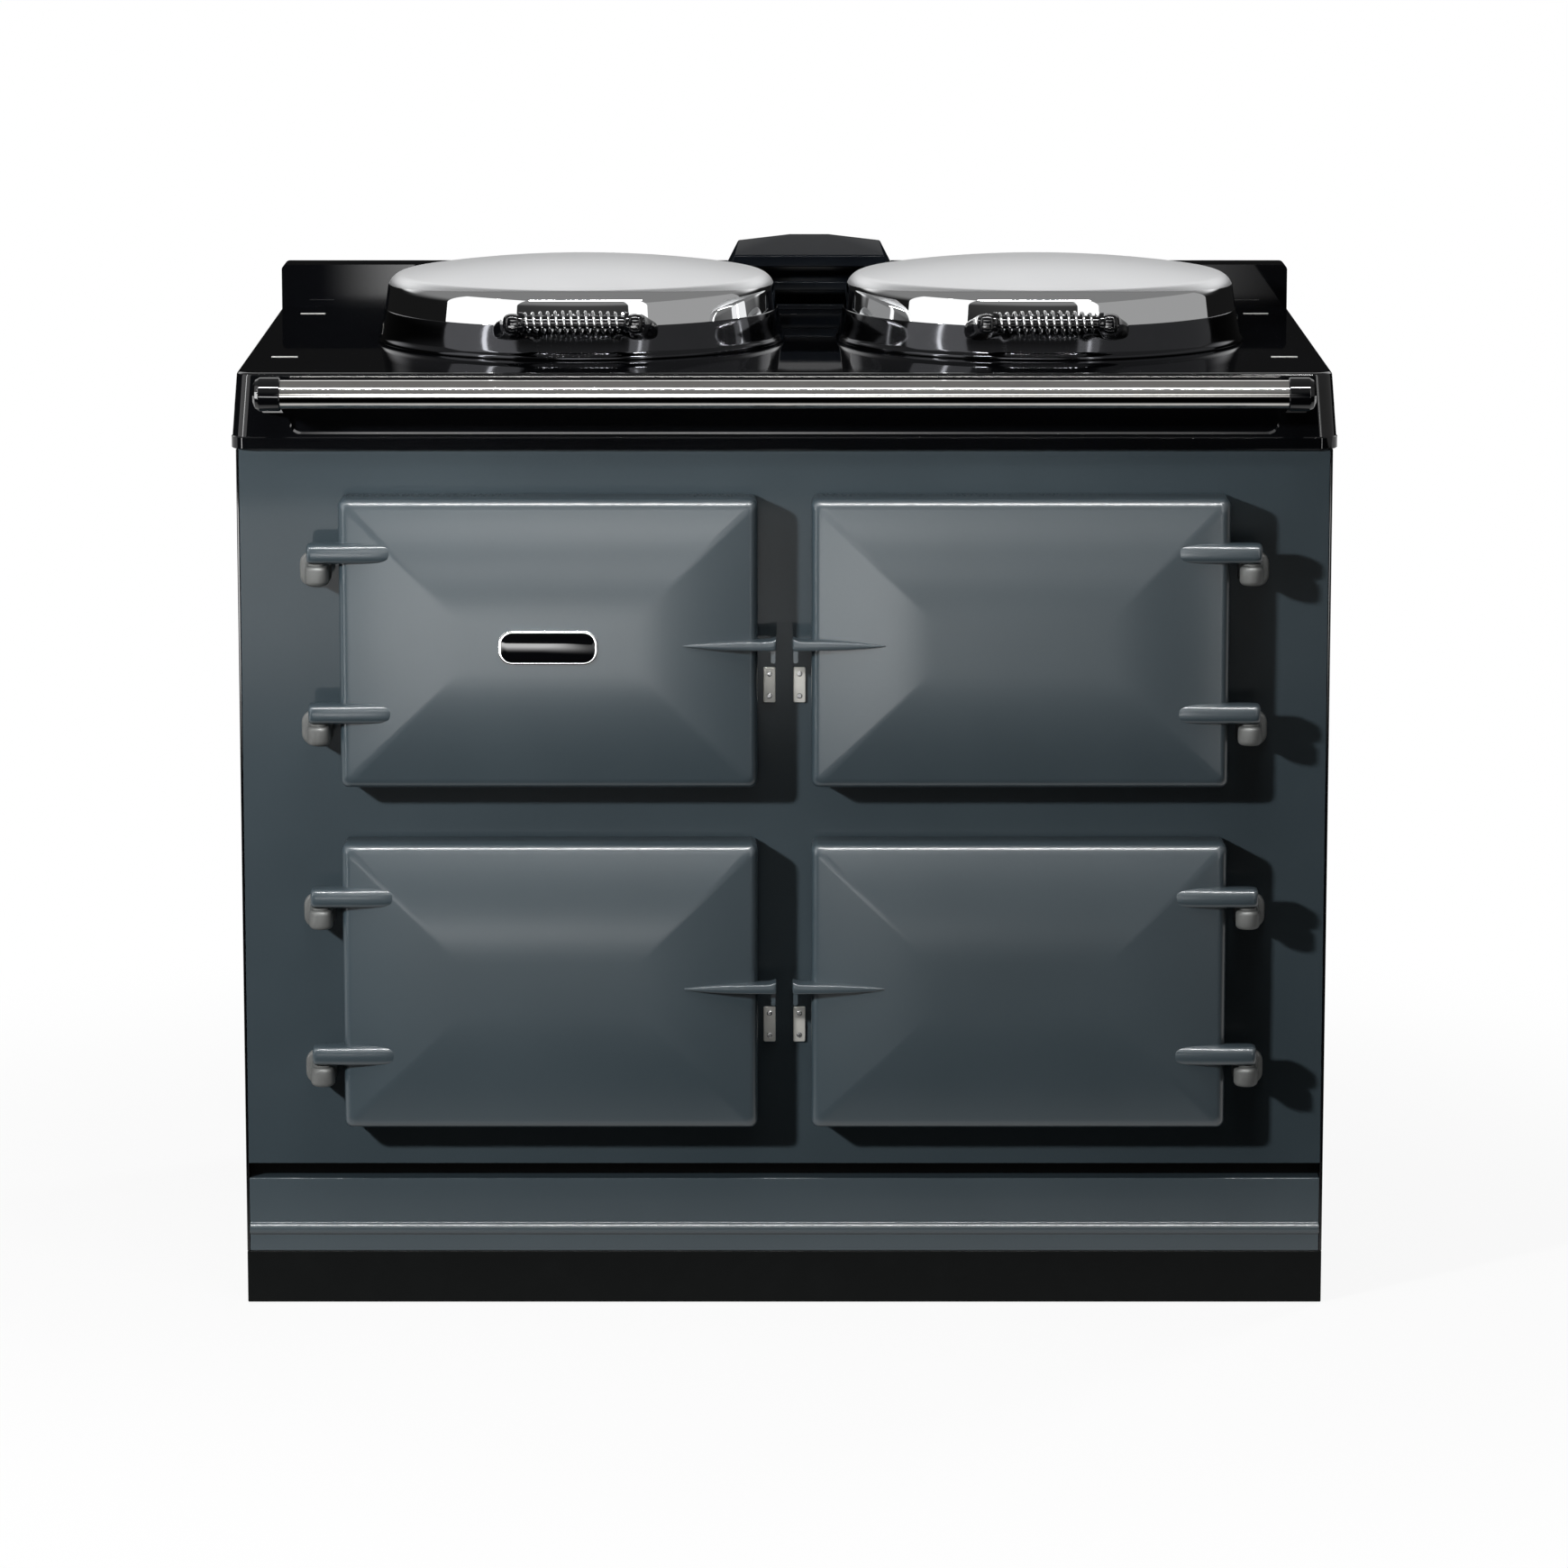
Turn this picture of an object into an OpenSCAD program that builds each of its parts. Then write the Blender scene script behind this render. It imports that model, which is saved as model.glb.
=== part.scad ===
// Cast iron range cooker: three ovens, a control compartment, two domed hob lids and a towel rail.
// Millimetres. +X is to the right, the front faces -Y, +Z is up and the floor is z = 0.

/* [Doors] */
// Width of each door casting
door_w = 372; // [260:1:520]
// Height of each door casting
door_h = 260; // [180:1:380]
// Thickness of the casting at its edge
door_edge_t = 42; // [28:0.5:60]
// Rise of the plateau above the edge thickness
door_crown = 10; // [4:0.5:16]
// Width of the sloped facet between edge and plateau
door_facet_w = 62; // [35:1:75]
// Radius of the rolled front edge
door_edge_r = 9; // [4:0.5:14]
// Corner radius of the door outline
door_corner_r = 8; // [5:0.5:20]
// Wall of the hollow casting at its rim
door_wall = 9; // [6:0.5:14]
// Depth of the hollow in the back of the casting
door_pocket_d = 30; // [15:1:36]
// Overlap of the door over the front plate round an opening
door_overlap = 21; // [14:1:34]
// Space between the left and right doors
mullion_w = 48; // [40:1:90]
// Space between the upper and lower doors
row_gap = 51; // [30:1:100]
// How far the inner pan reaches into an oven mouth
plug_d = 15; // [6:1:24]
// Clearance of the inner pan in the opening, all round
plug_gap = 5; // [4:0.5:12]
// Sheet thickness of the inner pan
pan_t = 1.5; // [0.8:0.1:3]
// Width of the rope seal on the rim
seal_w = 6; // [3:0.5:7]
// Distance of the rope seal from the door edge
seal_inset = 2; // [1.5:0.5:3]

/* [Door handles] */
// Length of the wedge that runs in over the door facet
handle_in = 67; // [40:1:90]
// Overhang of the handle past the door edge
handle_over = 17; // [12:0.5:19]
// Thickness of the handle where it leaves the door
handle_t = 9; // [6:0.5:14]
// Depth of the handle behind the plateau
handle_d = 21; // [14:0.5:30]
// Height of the upturned lip at the handle end
handle_lip = 2.4; // [1:0.2:5]
// Thickness of the latch tail under the handle end
tail_t = 4; // [3:0.5:6]
// Depth of the latch tail below the handle centre
tail_drop = 17; // [12:0.5:24]

/* [Door hinges] */
// Distance of the hinge axis outside the door edge
hinge_out = 19; // [16:0.5:30]
// Distance of the hinge axis in front of the front plate
hinge_fwd = 42; // [34:0.5:52]
// Height of a door lug
lug_h = 18; // [12:0.5:26]
// Upper lug above the door centre
lug_up = 82; // [60:1:100]
// Lower lug below the door centre
lug_down = 62; // [45:1:90]
// Reach of a lug past the hinge axis
lug_end = 9.5; // [8:0.5:12]
// Half depth of a lug at the hinge axis
lug_half_d = 12; // [9:0.5:13]
// Radius of the hinge pin
door_pin_r = 4; // [2.5:0.25:5]
// Depth of the blind bore in a lug
lug_bore = 14.5; // [9:0.5:15]
// Radius of the bracket knuckle
knuckle_r = 10.85; // [8:0.25:13]
// Height of the bracket knuckle
knuckle_h = 17.7; // [12:0.5:26]
// Height of the thrust collar between knuckle and lug
collar_h = 1.8; // [0.8:0.2:4]
// Width of the bracket pad on the front plate
pad_w = 28; // [22:1:36]
// Pad centre outside the hinge axis
pad_out = 4; // [0:0.5:8]
// Corner radius of the bracket pad
pad_r = 11; // [4:0.5:13]
// Height of the bracket pad
pad_h = 32; // [24:1:44]
// Thickness of the bracket pad
pad_t = 5; // [3:0.5:8]

/* [Latch keepers] */
// Width of a keeper plate
keeper_w = 11; // [8:0.5:14]
// Height of a keeper plate
keeper_h = 32; // [20:1:50]
// Thickness of a keeper plate
keeper_t = 2.5; // [1.5:0.25:4]
// Top of a keeper below the door centre
keeper_drop = 27; // [24:1:40]
// Keeper centre outside the door edge
keeper_out = 10.5; // [8:0.5:13]

/* [Front plate and cabinet] */
// Thickness of the cast front plate
plate_t = 7; // [5:0.5:12]
// Front plate above the upper doors
plate_top_rim = 39.5; // [25:0.5:70]
// Front plate below the lower doors
plate_bottom_rim = 42.5; // [25:0.5:80]
// Cabinet beside the doors, outside of the side panel included
side_margin = 93; // [60:1:140]
// Corner radius of the oven openings
opening_r = 14; // [6:1:25]
// Thickness of a side panel
side_t = 2.5; // [1.5:0.25:4]
// Width of the side panel's back return
side_return = 18; // [10:1:30]
// Thickness of the back panel
back_t = 2; // [1:0.25:4]
// Number of vent slots in each back group
back_slots = 7; // [3:1:12]
// Length of a back vent slot
back_slot_l = 120; // [60:1:200]
// Height of a back vent slot
back_slot_h = 6; // [4:0.5:10]
// Spacing of the back vent slots
back_slot_pitch = 18; // [14:1:30]

/* [Plinth] */
// Height of the black plinth
plinth_h = 48; // [30:1:120]
// Sheet thickness of the plinth
plinth_t = 3; // [2:0.5:5]
// Height of the enamelled plinth panel
kick_h = 68; // [45:1:120]
// Height of the dark gap below the front plate
kick_gap = 14; // [8:1:25]
// Depth of the dark gap
kick_recess = 20; // [12:1:30]
// Sheet thickness of the plinth panel
kick_t = 3; // [2:0.5:5]
// Radius of the bead on the plinth panel
bead_r = 6; // [4:0.5:9]
// Bead centre above the bottom of the plinth panel
bead_z = 21; // [14:0.5:30]
// Bead projection from the plinth panel
bead_out = 4; // [2:0.5:5]
// Radius of a levelling foot
foot_r = 23; // [15:1:35]
// Radius of a levelling screw
foot_stem_r = 6; // [4:0.5:8]
// Levelling foot centre from the plinth sides
foot_inset = 60; // [40:1:120]

/* [Top casting] */
// Height of the top casting, lip included
hob_h = 68; // [50:1:100]
// Thickness of the hob top
hob_t = 9; // [6:0.5:14]
// Height of the bottom lip
lip_h = 11.5; // [6:0.5:18]
// Lip beyond the side panels
lip_over = 4.5; // [3:0.5:10]
// Lip in front of the front plate
lip_proud = 6; // [6:0.5:15]
// Outward flare of the fascia from top to lip
hob_flare = 5; // [1:0.5:5.5]
// Radius of the top edge
hob_edge_r = 3; // [1:0.5:6]
// Corner radius of the casting in plan
hob_corner_r = 18; // [8:1:40]
// Wall of the fascia
fascia_t = 16; // [12:0.5:24]
// Wall of the casting at the sides and back
hob_wall = 10; // [8:0.5:12]
// Fascia left plain at each end of the recess
recess_margin = 53; // [48:1:90]
// Recess bottom above the lip bottom
recess_up = 14; // [12:0.5:20]
// Height of the fascia recess
recess_h = 38; // [20:1:42]
// Depth of the fascia recess at its top
recess_d = 4; // [2:0.5:6]
// Corner radius of the fascia recess
recess_r = 10; // [4:0.5:14]
// Height of the back upstand
upstand_h = 41; // [20:1:60]
// Depth of the back upstand
upstand_d = 44.5; // [25:0.5:70]
// Top corner radius of the upstand
upstand_r = 5; // [2:0.5:12]

/* [Hotplates] */
// Hotplate edge inside the lid's lower ring
hotplate_in = 17; // [9:1:60]
// Hotplate above the hob top
hotplate_proud = 3; // [1:0.5:6]
// Thickness of a hotplate
hotplate_t = 36; // [24:1:46]
// Gap round a hotplate in the hob
hotplate_gap = 3; // [1:0.5:6]
// Seat of a hotplate under the hob
hotplate_seat = 6; // [3:0.5:10]
// Number of machined rings on a hotplate
ring_count = 4; // [1:1:6]
// Spacing of the machined rings
ring_pitch = 30; // [18:1:36]

/* [Lids] */
// Foot radius of a lid
lid_r = 189.5; // [186:0.5:230]
// Inset of the dome's bottom from the lid foot
lid_inset = 7.5; // [5.5:0.5:11.5]
// Height of the lower ring
ring_h = 30; // [22:1:42]
// Width of the lower ring's foot
ring_wall = 17.5; // [15.5:0.5:21.5]
// Inner pan inside the lower ring
liner_in = 9; // [7:0.5:14]
// Inward draft of the dome's side, per 20 mm of height
lid_draft = 2.6; // [1:0.1:5]
// Radius of the dome's shoulder
lid_shoulder_r = 16; // [8:0.5:22]
// Radius of curvature of the crown
lid_crown_r = 1053; // [700:1:2000]
// Top of the dome above the hob
lid_h = 75; // [60:1:100]
// Sheet thickness of the dome
lid_wall = 1.8; // [1:0.1:3]
// Underside of the inner pan above the hob
lid_pan_z = 15; // [9:0.5:18]
// Space between the two lids
lid_gap = 47; // [20:1:120]
// Hob layout to the right of the cabinet's middle
hob_shift = 24; // [-40:1:40]
// Hob in front of the lids
lid_front = 96.5; // [70:0.5:160]
// Hob between the lids and the upstand
lid_back = 86.5; // [78:0.5:140]

/* [Lid grips] */
// Length of the wire coil
grip_l = 93; // [60:1:140]
// Outer radius of the wire coil
grip_r = 10.75; // [9.5:0.25:14]
// Wire diameter
wire_d = 2.6; // [1.6:0.1:3]
// Number of curls
curls = 13; // [6:1:16]
// Smaller coil radius at its two ends
coil_bow = 1.8; // [0:0.1:2]
// Radius of the rod inside the coil
rod_r = 6; // [4:0.25:6]
// Grip axis in front of the lid foot
grip_out = 31.5; // [26:0.5:45]
// Grip axis above the hob
grip_z = 38.5; // [34:0.5:46]
// Width of an arm at the rod
arm_w = 19; // [12:0.5:28]
// Height of an arm
arm_h = 24; // [18:0.5:28]

/* [Lid hinges] */
// Radius of the lid hinge pin
lid_pin_r = 4; // [2.5:0.25:5]
// Pin behind the lid foot
lid_pin_back = 22.5; // [20:0.5:30]
// Pin above the hob
lid_pin_z = 22; // [18:0.5:26]
// Radius of the hinge eye
eye_r = 8.5; // [7:0.25:10]
// Width of the hinge eye
eye_w = 30; // [18:1:50]
// Thickness of a hinge cheek
cheek_t = 8; // [5:0.5:12]
// Thickness of the hinge base
hinge_base_t = 4; // [2.5:0.5:6]

/* [Vent cowl] */
// Width of the cowl at the hob
cowl_base_w = 200; // [140:1:240]
// Width of the cowl's front top edge
cowl_front_w = 145; // [100:1:180]
// Width across the back shoulders
cowl_shoulder_w = 138; // [90:1:170]
// Width of the ridge
cowl_ridge_w = 36; // [16:1:70]
// Height of the front top edge
cowl_front_h = 52; // [44:1:70]
// Height of the back shoulders
cowl_shoulder_h = 61; // [50:1:80]
// Height of the ridge
cowl_h = 67; // [55:1:90]
// Depth of the cowl
cowl_d = 69.5; // [55:0.5:80]
// Backward lean of the cowl's front
cowl_lean = 6; // [2:0.5:12]
// Wall of the cowl
cowl_wall = 4; // [2.5:0.5:6]
// Bottom of the upper slot
slot_hi_z = 27; // [24:0.5:30]
// Height of the upper slot
slot_hi_h = 14; // [8:0.5:14]
// Bottom of the lower slot
slot_lo_z = 5; // [4:0.5:8]
// Height of the lower slot
slot_lo_h = 13; // [8:0.5:14]
// Plain end beside each slot
slot_end = 12; // [8:0.5:25]
// Hob left beside the duct opening under the cowl
duct_rim = 30; // [20:1:50]

/* [Towel rail] */
// Radius of the rail
rail_r = 12.5; // [8:0.5:16]
// Wall of the rail tube
rail_wall = 1.5; // [1:0.1:3]
// Rail end inside the side of the cabinet
rail_end = 45; // [20:1:200]
// Rail axis in front of the front plate
rail_stand = 58.5; // [45:0.5:90]
// Rail axis below the hob top
rail_drop = 12; // [8:0.5:24]
// Width of a rail bracket
rail_bracket_w = 24; // [18:0.5:30]
// Depth of the socket in a bracket
rail_socket = 12; // [6:0.5:15]
// Metal round the rail in a bracket
rail_cup_t = 2.5; // [1.5:0.25:4]

/* [Ovens] */
// Inside depth of an oven
oven_d = 450; // [300:1:520]
// Wall of an oven
oven_t = 4; // [2:0.5:8]
// Shelf runner width
runner_w = 9; // [6:0.5:14]
// Shelf runner height
runner_h = 5; // [3:0.5:8]
// Lowest runner above the oven floor
runner_z = 45; // [25:1:70]
// Spacing of the runners
runner_pitch = 45; // [30:1:70]
// Runner starts this far behind the front plate
runner_set = 30; // [20:1:60]
// Runner ends this far before the back wall
runner_end = 10; // [4:1:30]
// Clearance of the shelf beside each oven wall
shelf_gap = 3; // [2:0.5:6]
// Shelf's front behind the start of the runners
shelf_set = 8; // [2:1:20]
// Radius of the shelf's side rods
shelf_rod_r = 3.5; // [2.5:0.25:5]
// Radius of the shelf's cross rods
shelf_wire_r = 2; // [1.5:0.25:3]
// Spacing of the cross rods
shelf_pitch = 32; // [20:1:50]

/* [Controls] */
// Depth of the control panel behind the plate's face
panel_set = 24; // [22:1:40]
// Thickness of the control panel
panel_t = 2; // [1:0.25:4]
// Depth of the control box
box_d = 60; // [45:1:120]
// Sheet thickness of the control box
box_t = 1.5; // [0.8:0.1:3]
// Radius of a knob
knob_r = 17; // [12:0.5:24]
// Height of a knob
knob_h = 15; // [10:0.5:16]
// Spacing of the knobs
knob_pitch = 72; // [52:1:80]
// Radius of a knob spindle
spindle_r = 3; // [2:0.25:4]
// Length of a knob spindle behind the panel's face
spindle_l = 14; // [8:0.5:20]

/* [Mains inlet] */
// Width of the recessed inlet box
inlet_w = 90; // [60:1:140]
// Height of the inlet box
inlet_h = 76; // [50:1:120]
// Depth of the inlet box
inlet_d = 48; // [35:1:70]
// Sheet thickness of the inlet box
inlet_t = 2; // [1:0.25:3]
// Inlet centre from the side panel
inlet_side = 110; // [80:1:200]
// Inlet centre above the floor
inlet_z = 190; // [120:1:260]
// Radius of the cable gland
gland_r = 14; // [10:0.5:20]
// Bore of the cable gland
gland_bore_r = 8; // [4:0.5:9]
// Length of the cable gland
gland_l = 26; // [18:0.5:32]

/* [Fits] */
// Radial clearance of a pin or spindle that turns
run_fit = 0.05; // [0.02:0.01:0.1]
// Gap between parts that rest on or beside each other
seat_gap = 0.3; // [0.2:0.05:0.5]
// Gap between a door's back and the front plate
door_gap = 3; // [2:0.5:6]

/* [Hidden] */
$fn = 64;
corner_steps = 6;

// Width stack: doors, mullion and margins make the cabinet.
body_w = 2 * door_w + mullion_w + 2 * side_margin;
inner_half = body_w / 2 - side_t;
door_cx = mullion_w / 2 + door_w / 2;
hob_half = body_w / 2 + lip_over;
hob_top_half = hob_half - hob_flare;
rail_l = body_w - 2 * rail_end;

// Height stack: plinth, plinth panel, gap, front plate and top casting.
kick_top = plinth_h + kick_h;
plate_z0 = kick_top + kick_gap;
plate_h = plate_bottom_rim + 2 * door_h + row_gap + plate_top_rim;
plate_z1 = plate_z0 + plate_h;
hob_z = plate_z1 + hob_h;
hob_under = hob_z - hob_t;
door_hi = plate_z1 - plate_top_rim - door_h / 2;
door_lo = door_hi - door_h - row_gap;

// Depth stack: hob in front of the lids, lids, hinge space and upstand.
lid_d = 2 * lid_r;
lid_rim_r = lid_r - lid_inset;
ring_in_r = lid_r - ring_wall;
hotplate_r = ring_in_r - hotplate_in;
body_d = lid_front + lid_d + lid_back + upstand_d - (lip_proud - hob_flare);
overall_d = body_d + rail_stand + rail_r + rail_cup_t;
y_back = overall_d / 2;
y_face = y_back - body_d;
y_lip = y_face - lip_proud;
y_fascia = y_lip + hob_flare;
y_inside = y_lip + fascia_t;
y_core = y_face + plate_t;
y_up = y_back - upstand_d;

// Hob layout.
lid_y = y_fascia + lid_front + lid_r;
lid_dx = lid_r + lid_gap / 2;
left_lid_x = hob_shift - lid_dx;
right_lid_x = hob_shift + lid_dx;
pin_y = lid_r + lid_pin_back;

// Openings in the front plate and the ovens behind them.
open_w = door_w - 2 * door_overlap;
open_h = door_h - 2 * door_overlap;
shelf_w = open_w - 2 * shelf_gap;
runner_l = oven_d - runner_set - runner_end;
cross_rods = floor((runner_l - 2 * runner_end) / shelf_pitch);

// Door section: height of the front surface over its inset from the edge.
plateau = door_gap + door_edge_t + door_crown;
slope_in = door_edge_r * (1 - cos(80));
slope_z = plateau - door_crown - door_edge_r * (1 - sin(80));
soft = door_facet_w * 0.22;
facet_fall = (plateau - slope_z) / (door_facet_w - slope_in);
axis_x = door_w / 2 + hinge_out;

// Colours of the finishes.
enamel = [0.30, 0.34, 0.37];
black = [0.06, 0.06, 0.07];
steel = [0.72, 0.73, 0.74];
bright = [0.85, 0.86, 0.87];
iron = [0.22, 0.22, 0.23];
wool = [0.80, 0.76, 0.66];

// ---------- Shared shapes ----------

// A rounded rectangle outline in space, anticlockwise, with one radius per corner.
function ring(hx, hy, r, z, cy = 0, n = corner_steps) =
    [for (q = [0:3], i = [0:n])
        let (
            a = 90 * q + 90 * i / n,
            rr = is_list(r) ? r[q] : r,
            sx = q == 0 || q == 3 ? 1 : -1,
            sy = q < 2 ? 1 : -1
        )
        [sx * (hx - rr) + rr * cos(a), cy + sy * (hy - rr) + rr * sin(a), z]];

// A closed skin over outlines that all have the same number of points.
module loft(rings) {
    n = len(rings[0]);
    m = len(rings);
    points = [for (r = rings, p = r) p];
    sides = [for (k = [0:m - 2], i = [0:n - 1], t = [0:1])
        let (a = k * n + i, b = k * n + (i + 1) % n)
        t == 0 ? [a, a + n, b + n] : [a, b + n, b]];
    caps = [[for (i = [0:n - 1]) i], [for (i = [n - 1:-1:0]) (m - 1) * n + i]];
    polyhedron(points, concat(caps, sides), convexity = 6);
}

// A flat rounded rectangle with true arcs.
module rrect(w, h, r) {
    square([w - 2 * r, h], center = true);
    square([w, h - 2 * r], center = true);
    for (x = [-1, 1], y = [-1, 1])
        translate([x * (w / 2 - r), y * (h / 2 - r)])
            circle(r);
}

// A rounded slab that grows towards +Z.
module slab(w, h, r, t) {
    linear_extrude(t)
        rrect(w, h, r);
}

// Places children drawn with X to the right, Y up and Z to the front on the plate's face.
module on_face(x, z) {
    translate([x, y_face, z])
        rotate([90, 0, 0])
            children();
}

// Places children drawn for a right-hand door, and mirrors them for a left-hand one.
module hang(side, z) {
    on_face(side * door_cx, z)
        mirror([side < 0 ? 1 : 0, 0, 0])
            children();
}

// ---------- Plinth and cabinet ----------

module plinth_frame() {
    color(black)
        translate([0, (y_face + y_back) / 2, 0])
            difference() {
                translate([-body_w / 2, -body_d / 2, 0])
                    cube([body_w, body_d, plinth_h]);
                translate([-body_w / 2 + plinth_t, -body_d / 2 + plinth_t, -1])
                    cube([body_w - 2 * plinth_t, body_d - 2 * plinth_t, plinth_h - plinth_t + 1]);
            }
}

module levelling_feet() {
    color(steel)
        for (x = [-1, 1], y = [-1, 1])
            translate([x * (body_w / 2 - foot_inset), (y_face + y_back) / 2 + y * (body_d / 2 - foot_inset), 0]) {
                rotate_extrude()
                    polygon([[0, 0], [foot_r, 0], [foot_r, 3], [foot_r - 8, 8], [foot_stem_r, 9], [0, 9]]);
                translate([0, 0, 8])
                    cylinder(r = foot_stem_r, h = plinth_h - plinth_t - 8);
                translate([0, 0, plinth_h - plinth_t - 6])
                    cylinder(r = foot_stem_r * 1.9, h = 6, $fn = 6);
            }
}

module base_panel() {
    color(black) {
        translate([-inner_half, y_face + kick_recess, plinth_h])
            cube([2 * inner_half, back_t, plate_z0 - plinth_h]);
        translate([-inner_half, y_core, plate_z0])
            cube([2 * inner_half, kick_recess - plate_t + back_t, back_t]);
    }
}

module plinth_panel() {
    half = inner_half - seat_gap;
    low = plinth_h + seat_gap;
    color(enamel)
        union() {
            translate([-half, y_face, low])
                cube([2 * half, kick_t, kick_top - low]);
            for (z = [low, kick_top - kick_t])
                translate([-half, y_face, z])
                    cube([2 * half, kick_recess, kick_t]);
            intersection() {
                translate([-half, y_face + bead_r - bead_out, plinth_h + bead_z])
                    rotate([0, 90, 0])
                        cylinder(r = bead_r, h = 2 * half);
                translate([-half, y_face - bead_out, low])
                    cube([2 * half, bead_out + kick_t, kick_h]);
            }
        }
}

module front_plate() {
    color(enamel)
        difference() {
            translate([-inner_half, y_face, plate_z0])
                cube([2 * inner_half, plate_t, plate_h]);
            for (x = [-1, 1], z = [door_lo, door_hi])
                translate([x * door_cx, y_face - 1, z])
                    rotate([-90, 0, 0])
                        slab(open_w, open_h, opening_r, plate_t + 2);
        }
}

// One side panel with its return at the back; side is -1 for left and 1 for right.
module side_panel(side) {
    color(black)
        mirror([side < 0 ? 1 : 0, 0, 0])
            union() {
                translate([inner_half, y_face, plinth_h])
                    cube([side_t, body_d, plate_z1 - plinth_h]);
                translate([inner_half - side_return, y_back - side_t, plinth_h])
                    cube([side_return + side_t, side_t, plate_z1 - plinth_h]);
            }
}

module back_panel() {
    color(steel)
        difference() {
            translate([-inner_half, y_back - side_t - back_t, plinth_h])
                cube([2 * inner_half, back_t, plate_z1 - plinth_h]);
            for (x = [-1, 1], i = [0:back_slots - 1])
                translate([x * inner_half / 2, y_back, plate_z1 - 60 - i * back_slot_pitch])
                    rotate([90, 0, 0])
                        slab(back_slot_l, back_slot_h, back_slot_h / 2 - 0.01, 3 * back_t + side_t);
            translate([-inner_half + inlet_side, y_back, inlet_z])
                rotate([90, 0, 0])
                    slab(inlet_w - 6, inlet_h - 6, 4, 3 * back_t + side_t);
        }
}

module insulation_core() {
    y1 = y_back - side_t - back_t;
    color(wool)
        difference() {
            union() {
                translate([-inner_half, y_core, plate_z0 + back_t])
                    cube([2 * inner_half, y1 - y_core, plate_h - back_t]);
                translate([-inner_half, y_face + kick_recess + back_t, plinth_h])
                    cube([2 * inner_half, y1 - y_face - kick_recess - back_t, plate_h]);
            }
            for (p = [[1, door_hi], [1, door_lo], [-1, door_lo]])
                oven_block(p[0], p[1], oven_t, oven_d + oven_t);
            oven_block(-1, door_hi, box_t, box_d);
            translate([-inner_half + inlet_side - inlet_w / 2, y1 - inlet_d, inlet_z - inlet_h / 2])
                cube([inlet_w, inlet_d + 1, inlet_h]);
        }
}

module mains_inlet() {
    y1 = y_back - side_t - back_t;
    translate([-inner_half + inlet_side, y1, inlet_z]) {
        color(steel)
            difference() {
                translate([-inlet_w / 2, -inlet_d, -inlet_h / 2])
                    cube([inlet_w, inlet_d, inlet_h]);
                translate([-inlet_w / 2 + inlet_t, -inlet_d + inlet_t, -inlet_h / 2 + inlet_t])
                    cube([inlet_w - 2 * inlet_t, inlet_d, inlet_h - 2 * inlet_t]);
                translate([0, -inlet_d - 1, 0])
                    rotate([-90, 0, 0])
                        cylinder(r = gland_bore_r, h = inlet_t + 2);
            }
        color(iron)
            translate([0, -inlet_d + inlet_t, 0])
                rotate([-90, 0, 0])
                    difference() {
                        union() {
                            cylinder(r = gland_r, h = gland_l);
                            translate([0, 0, 3])
                                cylinder(r = gland_r * 1.25, h = 8, $fn = 6);
                        }
                        translate([0, 0, -1])
                            cylinder(r = gland_bore_r, h = gland_l + 2);
                    }
    }
}

// ---------- Ovens ----------

// The outside of an oven or of the control box behind opening (side, z).
module oven_block(side, z, wall, depth) {
    translate([side * door_cx - open_w / 2 - wall, y_core, z - open_h / 2 - wall])
        cube([open_w + 2 * wall, depth, open_h + 2 * wall]);
}

module oven(side, z) {
    runners = floor((open_h - runner_z - 2 * runner_h) / runner_pitch);
    color(iron)
        union() {
            difference() {
                oven_block(side, z, oven_t, oven_d + oven_t);
                translate([side * door_cx - open_w / 2, y_core - 1, z - open_h / 2])
                    cube([open_w, oven_d + 1, open_h]);
            }
            for (s = [0, 1], i = [0:runners])
                translate([
                    side * door_cx - open_w / 2 + s * (open_w - runner_w),
                    y_core + runner_set,
                    z - open_h / 2 + runner_z + i * runner_pitch
                ])
                    cube([runner_w, runner_l, runner_h]);
        }
}

// A wire shelf on the second pair of runners.
module shelf(side, z) {
    seat = z - open_h / 2 + runner_z + runner_pitch + runner_h + seat_gap;
    color(bright)
        translate([side * door_cx, y_core + runner_set + shelf_set, seat + shelf_rod_r])
            union() {
                for (x = [-1, 1])
                    translate([x * (shelf_w / 2 - shelf_rod_r), 0, 0])
                        rotate([-90, 0, 0])
                            cylinder(r = shelf_rod_r, h = runner_l - runner_end, $fn = 24);
                for (i = [0:cross_rods])
                    translate([-shelf_w / 2 + shelf_rod_r, runner_end + i * shelf_pitch, 0])
                        rotate([0, 90, 0])
                            cylinder(r = shelf_wire_r, h = shelf_w - 2 * shelf_rod_r, $fn = 20);
            }
}

// ---------- Controls behind the upper left door ----------

module control_box() {
    color(steel)
        difference() {
            oven_block(-1, door_hi, box_t, box_d);
            translate([-door_cx - open_w / 2, y_core - 1, door_hi - open_h / 2])
                cube([open_w, box_d - box_t + 1, open_h]);
        }
}

module control_panel() {
    color(steel)
        difference() {
            translate([
                -door_cx - open_w / 2 + seat_gap,
                y_face + panel_set,
                door_hi - open_h / 2 + seat_gap
            ])
                cube([open_w - 2 * seat_gap, panel_t, open_h - 2 * seat_gap]);
            for (i = [0:3])
                translate([-door_cx + (i - 1.5) * knob_pitch, y_face + panel_set - 1, door_hi])
                    rotate([-90, 0, 0])
                        cylinder(r = spindle_r + run_fit, h = panel_t + 2);
        }
}

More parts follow.
